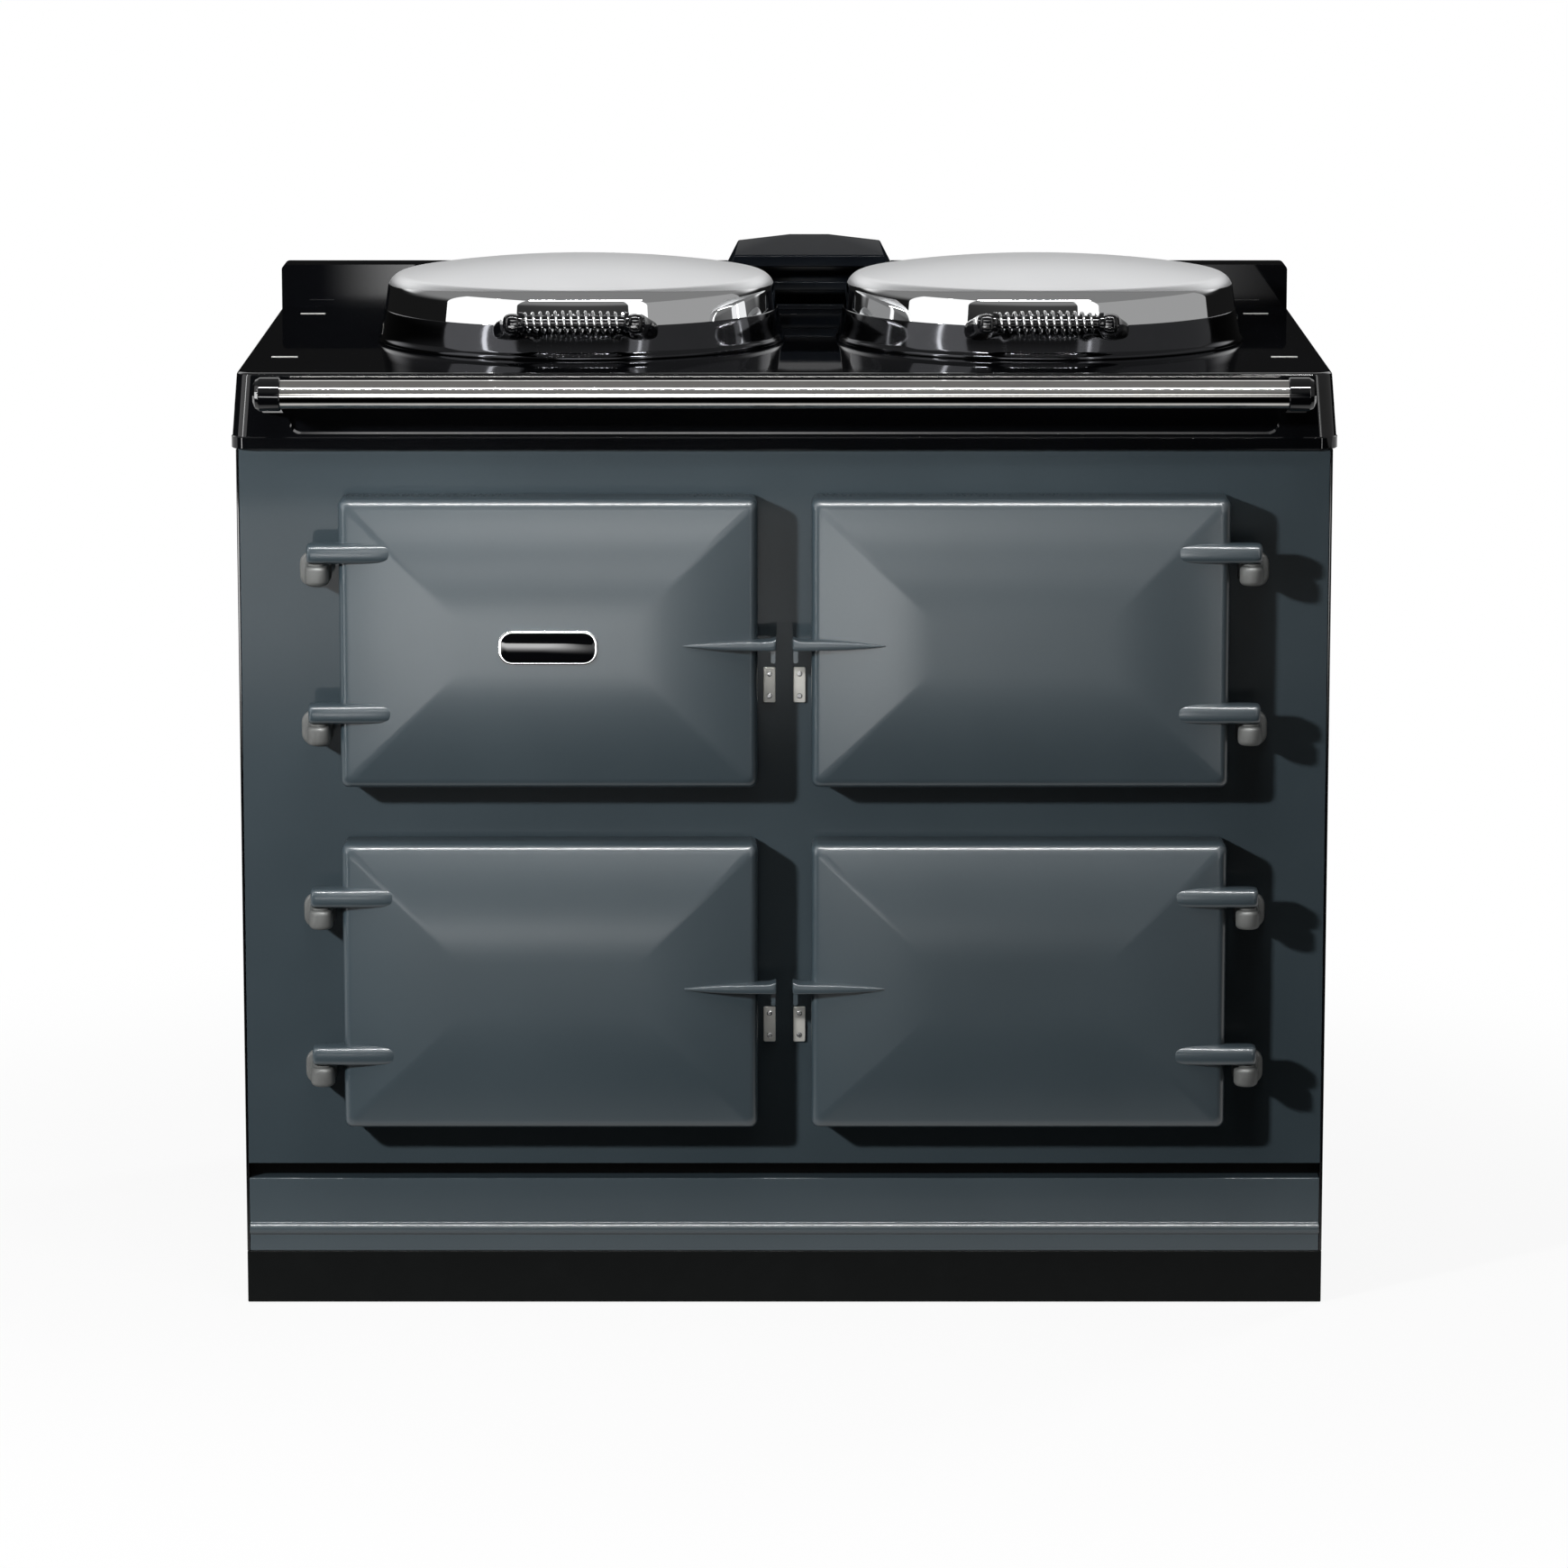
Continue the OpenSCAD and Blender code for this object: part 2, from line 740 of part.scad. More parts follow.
// A knob with its pointer ridge and spindle; the dial turns about the front-to-back axis.
module knob(i) {
    color(black)
        translate([-door_cx + (i - 1.5) * knob_pitch, y_face + panel_set - seat_gap, door_hi])
            rotate([90, 0, 0])
                union() {
                    rotate_extrude()
                        polygon([
                            [0, 0], [knob_r, 0], [knob_r, 2.5], [knob_r - 2, 3.5],
                            [knob_r - 3, knob_h - 6], [knob_r - 4, knob_h - 5], [0, knob_h - 5]
                        ]);
                    translate([-3, -knob_r + 4.5, 0])
                        cube([6, 2 * knob_r - 9, knob_h]);
                    translate([0, 0, -spindle_l])
                        cylinder(r = spindle_r, h = spindle_l + 1);
                }
}

// ---------- Doors ----------

// Front height of a door at an inset from its edge: rolled edge, facet, soft bend and plateau.
function facet_z(s) = slope_z + (s - slope_in) * facet_fall;
function bend_z(u) = facet_z(door_facet_w - soft) + facet_fall * (u - u * u / (4 * soft));

// Insets, heights and corner radii of the outlines that make the pillowed skin.
function door_rings() = concat(
    [[1, door_gap, door_corner_r - 1], [0, door_gap + 1, door_corner_r]],
    [for (a = [0, 20, 40, 60, 80])
        [
            door_edge_r * (1 - cos(a)),
            plateau - door_crown - door_edge_r * (1 - sin(a)),
            door_corner_r - door_edge_r * (1 - cos(a)) * 0.45
        ]],
    [for (s = [0.35, 0.7]) [door_facet_w * s, facet_z(door_facet_w * s), 4 + 5 * s]],
    [for (u = [0, 0.25, 0.5, 0.75, 1])
        [door_facet_w - soft + 2 * soft * u, bend_z(2 * soft * u), 9 + 9 * u]]
);

// The wedge handle: outlines from its tip on the facet to the upturned lip.
// Each station holds distance from the door edge, top, bottom and front offset.
function handle_station(k) = [
    [-handle_in, 0.8, -0.8, -0.6],
    [-handle_in * 0.8, handle_t * 0.24, -handle_t * 0.26, 0],
    [-handle_in * 0.45, handle_t * 0.42, -handle_t * 0.46, 0.4],
    [-2, handle_t * 0.48, -handle_t * 0.52, 0.2],
    [handle_over - 5, handle_t * 0.5, -handle_t * 0.55, 0],
    [handle_over - 1.2, handle_t * 0.5 + handle_lip, -handle_t * 0.55, 0],
    [handle_over, handle_t * 0.4 + handle_lip, -handle_t * 0.45, -1]
][k];

function handle_ring(k) =
    let (
        s = handle_station(k),
        x = -door_w / 2 - s[0],
        f = plateau + s[3],
        b = plateau - handle_d
    )
    [
        [x, s[2] * 0.4, f], [x, s[1] * 0.5, f], [x, s[1], f - 2.2],
        [x, s[1], b], [x, s[2], b], [x, s[2], f - 5]
    ];

module lug(y) {
    x0 = door_w / 2 - door_facet_w * 0.75;
    x1 = axis_x + lug_end;
    intersection() {
        translate([0, y + lug_h / 2, 0])
            rotate([90, 0, 0])
                linear_extrude(lug_h)
                    translate([(x0 + x1) / 2, hinge_fwd])
                        rrect(x1 - x0, 2 * lug_half_d, 6);
        translate([x0, y, hinge_fwd])
            rotate([90, 0, 90])
                linear_extrude(x1 - x0)
                    rrect(lug_h, 2 * lug_half_d, 4);
    }
}

// A hollow door casting with handle and hinge lugs, drawn for the right-hand side.
module door_casting() {
    difference() {
        union() {
            loft([for (d = door_rings()) ring(door_w / 2 - d[0], door_h / 2 - d[0], d[2], d[1])]);
            loft([for (k = [0:6]) handle_ring(k)]);
            latch_tail();
            lug(lug_up);
            lug(-lug_down);
        }
        translate([0, 0, door_gap - 1])
            slab(door_w - 2 * door_wall, door_h - 2 * door_wall, 6, door_pocket_d + 1);
        for (y = [lug_up, -lug_down])
            translate([axis_x, y - lug_h / 2 - 1, hinge_fwd])
                rotate([-90, 0, 0])
                    cylinder(r = door_pin_r + run_fit, h = lug_bore + 1);
    }
}

// The flat tail under the handle end that reaches back beside the keeper.
module latch_tail() {
    x1 = -door_w / 2 - handle_over + 1;
    top = -handle_t * 0.4;
    translate([x1, 0, 0])
        rotate([90, 0, 90])
            linear_extrude(tail_t)
                polygon([
                    [top, plateau - 6], [-tail_drop + 5, plateau - 6], [-tail_drop, plateau - 12],
                    [-tail_drop, 5], [-tail_drop + 4, 1.5], [-tail_drop + 9, 1.5],
                    [top, plateau - handle_d]
                ]);
}

module door(side, z) {
    color(enamel)
        hang(side, z)
            door_casting();
}

// The bright inner pan; deep is true where it reaches into an oven mouth.
module door_liner(side, z, deep) {
    w = open_w - 2 * plug_gap;
    h = open_h - 2 * plug_gap;
    color(bright)
        hang(side, z)
            difference() {
                union() {
                    translate([0, 0, door_gap])
                        slab(door_w - 2 * door_wall - 0.4, door_h - 2 * door_wall - 0.4, 6, pan_t);
                    if (deep)
                        translate([0, 0, -plug_d])
                            slab(w, h, opening_r - 4, plug_d + door_gap + pan_t);
                }
                if (deep)
                    translate([0, 0, -plug_d + pan_t])
                        slab(w - 2 * pan_t, h - 2 * pan_t, opening_r - 5, plug_d + door_gap + pan_t);
            }
}

module door_seal(side, z) {
    color(iron)
        hang(side, z)
            translate([0, 0, seat_gap])
                difference() {
                    slab(door_w - 2 * seal_inset, door_h - 2 * seal_inset, door_corner_r - 1, door_gap - seat_gap);
                    translate([0, 0, -1])
                        slab(
                            door_w - 2 * seal_inset - 2 * seal_w,
                            door_h - 2 * seal_inset - 2 * seal_w,
                            3,
                            door_gap + 2
                        );
                }
}

// ---------- Door hinges and keepers ----------

module hinge_bracket(y) {
    top = y - lug_h / 2 - seat_gap;
    low = top - collar_h - knuckle_h;
    x_in = axis_x + pad_out - pad_w / 2 + 1;
    x_out = axis_x + pad_out + pad_w / 2 - 3;
    difference() {
        union() {
            translate([axis_x, low, hinge_fwd])
                rotate([-90, 0, 0])
                    cylinder(r = knuckle_r, h = knuckle_h);
            translate([axis_x, low + knuckle_h - 1, hinge_fwd])
                rotate([-90, 0, 0])
                    cylinder(r = knuckle_r - 3, h = collar_h + 1);
            translate([0, low + knuckle_h, 0])
                rotate([90, 0, 0])
                    linear_extrude(knuckle_h)
                        polygon([
                            [x_in, 0], [x_out, 0], [x_out, pad_t], [axis_x + knuckle_r, hinge_fwd * 0.38],
                            [axis_x + knuckle_r, hinge_fwd], [axis_x - knuckle_r, hinge_fwd],
                            [axis_x - knuckle_r, hinge_fwd * 0.62], [x_in, 2 * pad_t]
                        ]);
            translate([axis_x + pad_out, low + knuckle_h / 2, 0])
                slab(pad_w, pad_h, pad_r, pad_t);
        }
        translate([axis_x, low - 1, hinge_fwd])
            rotate([-90, 0, 0])
                cylinder(r = door_pin_r, h = knuckle_h + collar_h + 2);
    }
}

module each_hinge() {
    for (side = [-1, 1], z = [door_lo, door_hi])
        hang(side, z)
            for (y = [lug_up, -lug_down])
                translate([0, y, 0])
                    children();
}

module door_hinge_brackets() {
    color(steel)
        each_hinge()
            hinge_bracket(0);
}

module door_hinge_pins() {
    low = -lug_h / 2 - seat_gap - collar_h - knuckle_h;
    color(bright)
        each_hinge()
            translate([axis_x, low, hinge_fwd])
                rotate([-90, 0, 0])
                    cylinder(r = door_pin_r, h = -low - lug_h / 2 + lug_bore - 0.5);
}

module latch_keepers() {
    color(bright)
        for (side = [-1, 1], z = [door_lo, door_hi])
            hang(side, z)
                translate([-door_w / 2 - keeper_out, -keeper_drop - keeper_h / 2, 0])
                    difference() {
                        slab(keeper_w, keeper_h, 1.5, keeper_t);
                        for (y = [-1, 1])
                            translate([0, y * (keeper_h / 2 - 6), -1])
                                cylinder(r = 1.6, h = keeper_t + 2, $fn = 24);
                    }
}

// ---------- Top casting ----------

// Outlines of the top casting: lip, flared fascia and rolled top edge.
function hob_rings() = [
    for (l = [
        [plate_z1, 1],
        [plate_z1 + 1, 0],
        [plate_z1 + lip_h - 1, 0],
        [plate_z1 + lip_h, 0.8],
        [hob_z - hob_edge_r, hob_flare],
        [hob_z - hob_edge_r * 0.5, hob_flare + hob_edge_r * 0.134],
        [hob_z - hob_edge_r * 0.134, hob_flare + hob_edge_r * 0.5],
        [hob_z, hob_flare + hob_edge_r]
    ])
        ring(
            hob_half - l[1],
            (y_back - y_lip - l[1]) / 2,
            [2, 2, hob_corner_r, hob_corner_r],
            l[0],
            (y_back + y_lip + l[1]) / 2
        )
];

module hob_at(x) {
    translate([x, lid_y, hob_z])
        children();
}

module top_plate() {
    r = upstand_r;
    half_cowl = cowl_base_w / 2 + hob_wall;
    color(black)
        difference() {
            union() {
                loft(hob_rings());
                difference() {
                    translate([0, y_back, 0])
                        rotate([90, 0, 0])
                            linear_extrude(upstand_d) {
                                translate([-hob_top_half, hob_z - 6])
                                    square([2 * hob_top_half, upstand_h + 6 - r]);
                                translate([-hob_top_half + r, hob_z - 6])
                                    square([2 * hob_top_half - 2 * r, upstand_h + 6]);
                                for (s = [-1, 1])
                                    translate([s * (hob_top_half - r), hob_z + upstand_h - r])
                                        circle(r);
                            }
                    cowl_body(-seat_gap);
                }
            }
            for (x = [[-hob_top_half + hob_wall, hob_shift - half_cowl], [hob_shift + half_cowl, hob_top_half - hob_wall]])
                translate([x[0], y_up + hob_t, hob_under - 1])
                    cube([x[1] - x[0], upstand_d - hob_t - hob_wall, upstand_h + 1]);
            translate([-hob_half + hob_wall + hob_flare, y_inside, plate_z1 - 1])
                cube([2 * (hob_half - hob_wall - hob_flare), y_back - hob_wall - y_inside, hob_under - plate_z1 + 1]);
            for (x = [left_lid_x, right_lid_x])
                translate([x, lid_y, hob_under - 1])
                    cylinder(r = hotplate_r + hotplate_gap, h = hob_t + 2);
            translate([0, y_fascia + recess_d, plate_z1 + recess_up + recess_h / 2])
                rotate([90, 0, 0])
                    slab(2 * (hob_half - recess_margin), recess_h, recess_r, 30);
            translate([hob_shift, y_back - cowl_d / 2, hob_under - 1])
                slab(cowl_base_w - 2 * duct_rim, cowl_d - duct_rim, 6, hob_t + 2);
        }
}

module hotplate(x) {
    low = hotplate_proud - hotplate_t;
    color(iron)
        hob_at(x)
            rotate_extrude($fn = 96)
                difference() {
                    polygon([
                        [0, low], [hotplate_r + hotplate_seat, low],
                        [hotplate_r + hotplate_seat, -hob_t], [hotplate_r, -hob_t],
                        [hotplate_r, hotplate_proud - 2], [hotplate_r - 2, hotplate_proud],
                        [0, hotplate_proud]
                    ]);
                    for (i = [1:ring_count])
                        translate([i * ring_pitch - 0.6, hotplate_proud - 0.8])
                            square([1.2, 2]);
                }
}

// ---------- Vent cowl ----------

// The hipped cowl; e draws every wall in, and a negative e lets it grow.
module cowl_body(e) {
    b = cowl_base_w / 2 - e;
    f = cowl_front_w / 2 - e;
    s = cowl_shoulder_w / 2 - e;
    g = cowl_ridge_w / 2;
    y0 = y_back - cowl_d + e;
    y1 = y0 + cowl_lean;
    y2 = y_back - e;
    z = hob_z + min(-e, 0);
    translate([hob_shift, 0, 0])
        polyhedron(
            [
                [-b, y0, z], [b, y0, z], [b, y2, z], [-b, y2, z],
                [-f, y1, hob_z + cowl_front_h - e], [f, y1, hob_z + cowl_front_h - e],
                [s, y2, hob_z + cowl_shoulder_h - e], [g, y2, hob_z + cowl_h - e],
                [-g, y2, hob_z + cowl_h - e], [-s, y2, hob_z + cowl_shoulder_h - e]
            ],
            [
                [0, 1, 2], [0, 2, 3], [0, 4, 5], [0, 5, 1],
                [1, 5, 6], [1, 6, 2], [3, 9, 4], [3, 4, 0],
                [4, 8, 7], [4, 7, 5], [5, 7, 6], [4, 9, 8],
                [2, 6, 7], [2, 7, 8], [2, 8, 9], [2, 9, 3]
            ],
            convexity = 4
        );
}

module vent_cowl() {
    color(black)
        difference() {
            cowl_body(0);
            translate([0, 0, -0.01])
                cowl_body(cowl_wall);
            for (s = [[slot_hi_z, slot_hi_h], [slot_lo_z, slot_lo_h]])
                translate([
                    hob_shift - cowl_front_w / 2 + slot_end,
                    y_back - cowl_d - 1,
                    hob_z + s[0]
                ])
                    cube([cowl_front_w - 2 * slot_end, cowl_lean + 2 * cowl_wall, s[1]]);
        }
}

// ---------- Lids ----------

// Side line, shoulder and crown of the dome, each drawn in by e; heights are above the hob.
draft_l = norm([lid_draft, 20]);
side_dir = [-lid_draft, 20] / draft_l;
side_in = [-20, -lid_draft] / draft_l;
crown_c = [0, lid_h - lid_crown_r];
shoulder_0 = [lid_rim_r, ring_h] + lid_shoulder_r * side_in;
shoulder_b = side_dir * (shoulder_0 - crown_c);
shoulder_k = (shoulder_0 - crown_c) * (shoulder_0 - crown_c) - pow(lid_crown_r - lid_shoulder_r, 2);
shoulder_c = shoulder_0 + side_dir * (-shoulder_b + sqrt(shoulder_b * shoulder_b - shoulder_k));

module dome_section(e) {
    crown_u = (shoulder_c - crown_c) / norm(shoulder_c - crown_c);
    t1 = shoulder_c - side_in * (lid_shoulder_r - e);
    t2 = shoulder_c + crown_u * (lid_shoulder_r - e);
    foot = [lid_rim_r, ring_h] + e * side_in;
    base = foot - side_dir * ((foot[1] - ring_h) / side_dir[1]);
    translate(shoulder_c)
        circle(lid_shoulder_r - e, $fn = 96);
    polygon([[0, ring_h], base, t1, shoulder_c, [0, shoulder_c[1]]]);
    intersection() {
        translate(crown_c)
            circle(lid_crown_r - e, $fn = 1440);
        polygon([
            [0, shoulder_c[1] - 1], shoulder_c - [0, 1], shoulder_c, t2,
            [t2[0], lid_h + 1], [0, lid_h + 1]
        ]);
    }
}

module lid_dome(x) {
    color(bright)
        hob_at(x)
            rotate_extrude($fn = 128)
                difference() {
                    dome_section(0);
                    dome_section(lid_wall);
                    translate([-lid_rim_r, 0])
                        square([3 * lid_rim_r, ring_h]);
                }
}

// Outside of the lower ring, grown by g.
module ring_section(g) {
    polygon([
        [0, seat_gap], [lid_r + g, seat_gap], [lid_r + g, 2.5 + g], [lid_r - 2.6 + g, 6 + g],
        [lid_rim_r + 0.6 + g, ring_h], [0, ring_h]
    ]);
}

module lid_ring(x) {
    color(black)
        hob_at(x)
            rotate_extrude($fn = 128)
                difference() {
                    ring_section(0);
                    square([ring_in_r - 6, ring_h + 1]);
                    square([ring_in_r, ring_h - 6]);
                    translate([0, ring_h - 3])
                        square([ring_in_r, 4]);
                }
}

module lid_liner(x) {
    r = ring_in_r - liner_in;
    top = ring_h - 3;
    color(steel)
        hob_at(x)
            rotate_extrude($fn = 96)
                polygon([
                    [0, lid_pan_z], [r, lid_pan_z], [r, top], [ring_in_r - seat_gap, top],
                    [ring_in_r - seat_gap, top + pan_t], [r - pan_t, top + pan_t],
                    [r - pan_t, lid_pan_z + pan_t], [0, lid_pan_z + pan_t]
                ]);
}

// Everything inside the lid's outer skin, used to fit arms against it.
module lid_skin(g) {
    rotate_extrude($fn = 128) {
        intersection() {
            dome_section(-g);
            square([2 * lid_r, 2 * lid_h]);
        }
        ring_section(g);
        translate([0, ring_h - 1])
            square([lid_rim_r + g, 2]);
    }
}

// Plan of one arm from the lid to the rod end, for positive x.
module arm_plan() {
    y0 = -lid_r - grip_out;
    x0 = grip_l / 2;
    x1 = x0 + arm_w;
    difference() {
        union() {
            translate([x0, y0])
                square([arm_w - 8, -y0 - lid_rim_r + 30]);
            translate([x0, y0])
                square([arm_w, -y0 - lid_rim_r + 30]);
            translate([x1 - 8, y0])
                circle(8);
            translate([x0, y0 - 8])
                square([arm_w - 8, 10]);
            polygon([[x1 - 1, y0 + 8], [x1 + 16, y0 + 30], [x1 + 16, -lid_rim_r + 30], [x1 - 1, -lid_rim_r + 30]]);
        }
        translate([x1 + 16, y0 + 8])
            circle(16);
    }
}

module lid_grip(x) {
    y0 = -lid_r - grip_out;
    color(black)
        hob_at(x)
            difference() {
                union() {
                    for (s = [0, 1])
                        mirror([s, 0, 0])
                            translate([0, 0, grip_z - arm_h / 2])
                                linear_extrude(arm_h)
                                    arm_plan();
                    translate([-grip_l / 2 - 1, y0, grip_z])
                        rotate([0, 90, 0])
                            cylinder(r = rod_r, h = grip_l + 2);
                }
                lid_skin(0.1);
            }
}

// The coil's centre line: straight at both ends, then curls round the rod.
coil_r = grip_r - wire_d / 2;
coil_run = grip_l - 2 * wire_d;
coil_n = curls * 8;
function coil_x(u) = -coil_run / 2 + coil_run * u;
function coil_angle(u) = 360 * curls * u;
function coil_in(u) = coil_r - coil_bow * pow(2 * u - 1, 2);
function coil_point(u) = [coil_x(u), coil_in(u) * cos(coil_angle(u)), coil_in(u) * sin(coil_angle(u))];
coil_path = concat(
    [[-grip_l / 2, coil_in(0), 0], [-grip_l / 2 + wire_d * 0.6, coil_in(0), 0]],
    [for (i = [0:coil_n]) coil_point(i / coil_n)],
    [[grip_l / 2 - wire_d * 0.6, coil_in(1), 0], [grip_l / 2, coil_in(1), 0]]
);

// Six-sided outlines round the path, each square to it, with one side facing away from the rod.
function coil_ring(k) =
    let (
        n = len(coil_path),
        p = coil_path[k],
        d = k < 2 || k > n - 3 ? [1, 0, 0] : coil_path[k + 1] - coil_path[k - 1],
        t = d / norm(d),
        u = [0, p[1], p[2]] / norm([0, p[1], p[2]]),
        v = cross(u, t)
    )
    [for (i = [0:5]) p + wire_d / 2 * (cos(60 * i) * u - sin(60 * i) * v)];

coil_gap = min([for (i = [0:len(coil_path) - 1], j = [i + 5:1:len(coil_path) - 1])
    norm(coil_path[i] - coil_path[j])]) - wire_d;
echo(str("least gap of the lid coil to itself: ", coil_gap, " mm"));

module lid_coil(x) {
    color(bright)
        hob_at(x)
            translate([0, -lid_r - grip_out, grip_z])
                loft([for (k = [0:len(coil_path) - 1]) coil_ring(k)]);
}

module lid_hinge_arm(x) {
    color(black)
        hob_at(x)
            difference() {
                translate([-eye_w / 2, 0, 0])
                    rotate([90, 0, 90])
                        linear_extrude(eye_w) {
                            translate([pin_y, lid_pin_z])
                                circle(eye_r);
                            polygon([
                                [lid_rim_r - 10, ring_h - 2], [lid_rim_r - 10, 8], [lid_r + 4, 8],
                                [pin_y, lid_pin_z - eye_r], [pin_y, lid_pin_z + eye_r]
                            ]);
                        }
                lid_skin(0.1);
                translate([-eye_w, pin_y, lid_pin_z])
                    rotate([0, 90, 0])
                        cylinder(r = lid_pin_r + run_fit, h = 2 * eye_w);
            }
}

module lid_hinge_bases() {
    w = eye_w + 2 * (cheek_t + seat_gap + 0.1);
    color(black)
        for (x = [left_lid_x, right_lid_x])
            hob_at(x)
                difference() {
                    union() {
                        translate([0, pin_y + 2, 0])
                            slab(w + 16, 2 * eye_r + 12, 6, hinge_base_t);
                        for (s = [0, 1])
                            mirror([s, 0, 0])
                                translate([w / 2 - cheek_t, 0, 0])
                                    rotate([90, 0, 90])
                                        linear_extrude(cheek_t) {
                                            translate([pin_y, lid_pin_z])
                                                circle(eye_r + 0.5);
                                            translate([pin_y - eye_r - 0.5, 0])
                                                square([2 * eye_r + 1, lid_pin_z]);
                                        }
                    }
                    translate([-w, pin_y, lid_pin_z])
                        rotate([0, 90, 0])
                            cylinder(r = lid_pin_r, h = 2 * w);
                }
}

module lid_hinge_pins() {
    w = eye_w + 2 * (cheek_t + seat_gap + 0.1);
    color(steel)
        for (x = [left_lid_x, right_lid_x])
            hob_at(x)
                translate([-w / 2, pin_y, lid_pin_z])
                    rotate([0, 90, 0])
                        cylinder(r = lid_pin_r, h = w);
}

// ---------- Towel rail ----------

rail_y = y_face - rail_stand;
rail_z = hob_z - rail_drop;

// Front of the fascia at a height.
function fascia_y(z) = y_lip + 0.8
    + (hob_flare - 0.8) * (z - plate_z1 - lip_h) / (hob_h - hob_edge_r - lip_h);

module towel_rail() {
    l = rail_l + 2 * rail_socket;
    color(steel)
        translate([-l / 2, rail_y, rail_z])
            rotate([0, 90, 0])
                difference() {
                    cylinder(r = rail_r, h = l);
                    translate([0, 0, -1])
                        cylinder(r = rail_r - rail_wall, h = l + 2);
                }
}

module rail_bracket(side) {
    cup = rail_r + rail_cup_t;
    x0 = rail_l / 2;
    z1 = rail_z + 4;
    z0 = rail_z - cup - 8;
    color(black)
        mirror([side < 0 ? 1 : 0, 0, 0])
            difference() {
                union() {
                    translate([x0, rail_y, rail_z])
                        rotate([0, 90, 0])
                            rotate_extrude()
                                polygon([
                                    [0, 0], [cup - 1, 0], [cup, 1], [cup, rail_bracket_w - 6],
                                    [cup - 2, rail_bracket_w - 2], [cup - 6, rail_bracket_w], [0, rail_bracket_w]
                                ]);
                    translate([x0 + 2, 0, 0])
                        rotate([90, 0, 90])
                            linear_extrude(rail_bracket_w - 6)
                                polygon([
                                    [rail_y, rail_z - 9], [rail_y + 10, rail_z - cup + 2], [rail_y + 30, z0 + 6],
                                    [fascia_y(z0), z0], [fascia_y(z1), z1], [rail_y + 22, z1], [rail_y, rail_z + 9]
                                ]);
                }
                translate([x0 - 1, rail_y, rail_z])
                    rotate([0, 90, 0])
                        cylinder(r = rail_r, h = rail_socket + 1);
            }
}

// ---------- Drawing ----------

plinth_frame();
levelling_feet();
base_panel();
plinth_panel();
front_plate();
side_panel(-1);  // left_side_panel
side_panel(1);  // right_side_panel
back_panel();
top_plate();
vent_cowl();
hotplate(left_lid_x);  // left_hotplate
hotplate(right_lid_x);  // right_hotplate
oven(1, door_hi);  // roasting_oven
oven(1, door_lo);  // baking_oven
oven(-1, door_lo);  // simmering_oven
shelf(1, door_hi);  // roasting_shelf
shelf(1, door_lo);  // baking_shelf
shelf(-1, door_lo);  // simmering_shelf
control_box();
control_panel();
insulation_core();
towel_rail();
rail_bracket(-1);  // left_rail_bracket
rail_bracket(1);  // right_rail_bracket
door_hinge_brackets();
door_hinge_pins();
latch_keepers();
lid_hinge_bases();
lid_hinge_pins();
mains_inlet();
door(-1, door_hi);  // upper_left_door
door_liner(-1, door_hi, false);  // upper_left_door_liner
door_seal(-1, door_hi);  // upper_left_door_seal
door(1, door_hi);  // upper_right_door
door_liner(1, door_hi, true);  // upper_right_door_liner
door_seal(1, door_hi);  // upper_right_door_seal
door(-1, door_lo);  // lower_left_door
door_liner(-1, door_lo, true);  // lower_left_door_liner
door_seal(-1, door_lo);  // lower_left_door_seal
door(1, door_lo);  // lower_right_door
door_liner(1, door_lo, true);  // lower_right_door_liner
door_seal(1, door_lo);  // lower_right_door_seal
lid_dome(left_lid_x);  // left_lid_dome
lid_ring(left_lid_x);  // left_lid_ring
lid_liner(left_lid_x);  // left_lid_liner
lid_grip(left_lid_x);  // left_lid_grip
lid_coil(left_lid_x);  // left_lid_coil
lid_hinge_arm(left_lid_x);  // left_lid_hinge_arm
lid_dome(right_lid_x);  // right_lid_dome
lid_ring(right_lid_x);  // right_lid_ring
lid_liner(right_lid_x);  // right_lid_liner
lid_grip(right_lid_x);  // right_lid_grip
lid_coil(right_lid_x);  // right_lid_coil
lid_hinge_arm(right_lid_x);  // right_lid_hinge_arm
knob(0);  // roasting_knob
knob(1);  // baking_knob
knob(2);  // simmering_knob
knob(3);  // hotplate_knob
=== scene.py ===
"""Looks of the cast iron range cooker.

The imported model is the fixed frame. The castings, lids and small fittings that show are modelled again
round it with finer forms, every other solid keeps its shape, and all of them get procedural finishes.
Pieces are written in millimetres and turned to metres where a mesh is made; the studio is in metres.
"""

from __future__ import annotations

import logging
import math
from dataclasses import dataclass
from enum import Enum
from typing import Callable, Iterable, Sequence

import bmesh
import bpy
from mathutils import Matrix, Vector


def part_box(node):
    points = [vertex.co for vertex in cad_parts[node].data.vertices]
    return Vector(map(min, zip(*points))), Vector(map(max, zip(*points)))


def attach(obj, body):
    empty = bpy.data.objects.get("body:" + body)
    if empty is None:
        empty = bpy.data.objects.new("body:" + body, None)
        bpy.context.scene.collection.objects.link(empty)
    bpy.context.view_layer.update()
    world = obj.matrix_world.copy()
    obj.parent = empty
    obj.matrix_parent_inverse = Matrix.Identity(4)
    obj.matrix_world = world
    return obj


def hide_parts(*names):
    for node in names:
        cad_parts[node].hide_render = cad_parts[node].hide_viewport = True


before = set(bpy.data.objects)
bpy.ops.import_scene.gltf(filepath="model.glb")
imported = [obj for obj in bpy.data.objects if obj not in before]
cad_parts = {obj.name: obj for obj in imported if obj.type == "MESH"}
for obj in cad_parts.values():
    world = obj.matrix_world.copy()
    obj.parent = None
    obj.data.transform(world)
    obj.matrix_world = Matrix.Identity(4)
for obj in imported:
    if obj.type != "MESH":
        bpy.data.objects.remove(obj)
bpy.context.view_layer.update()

MM = 0.001
WELD = 0.00001  # metres between points that count as one
LOG = logging.getLogger("range_cooker")

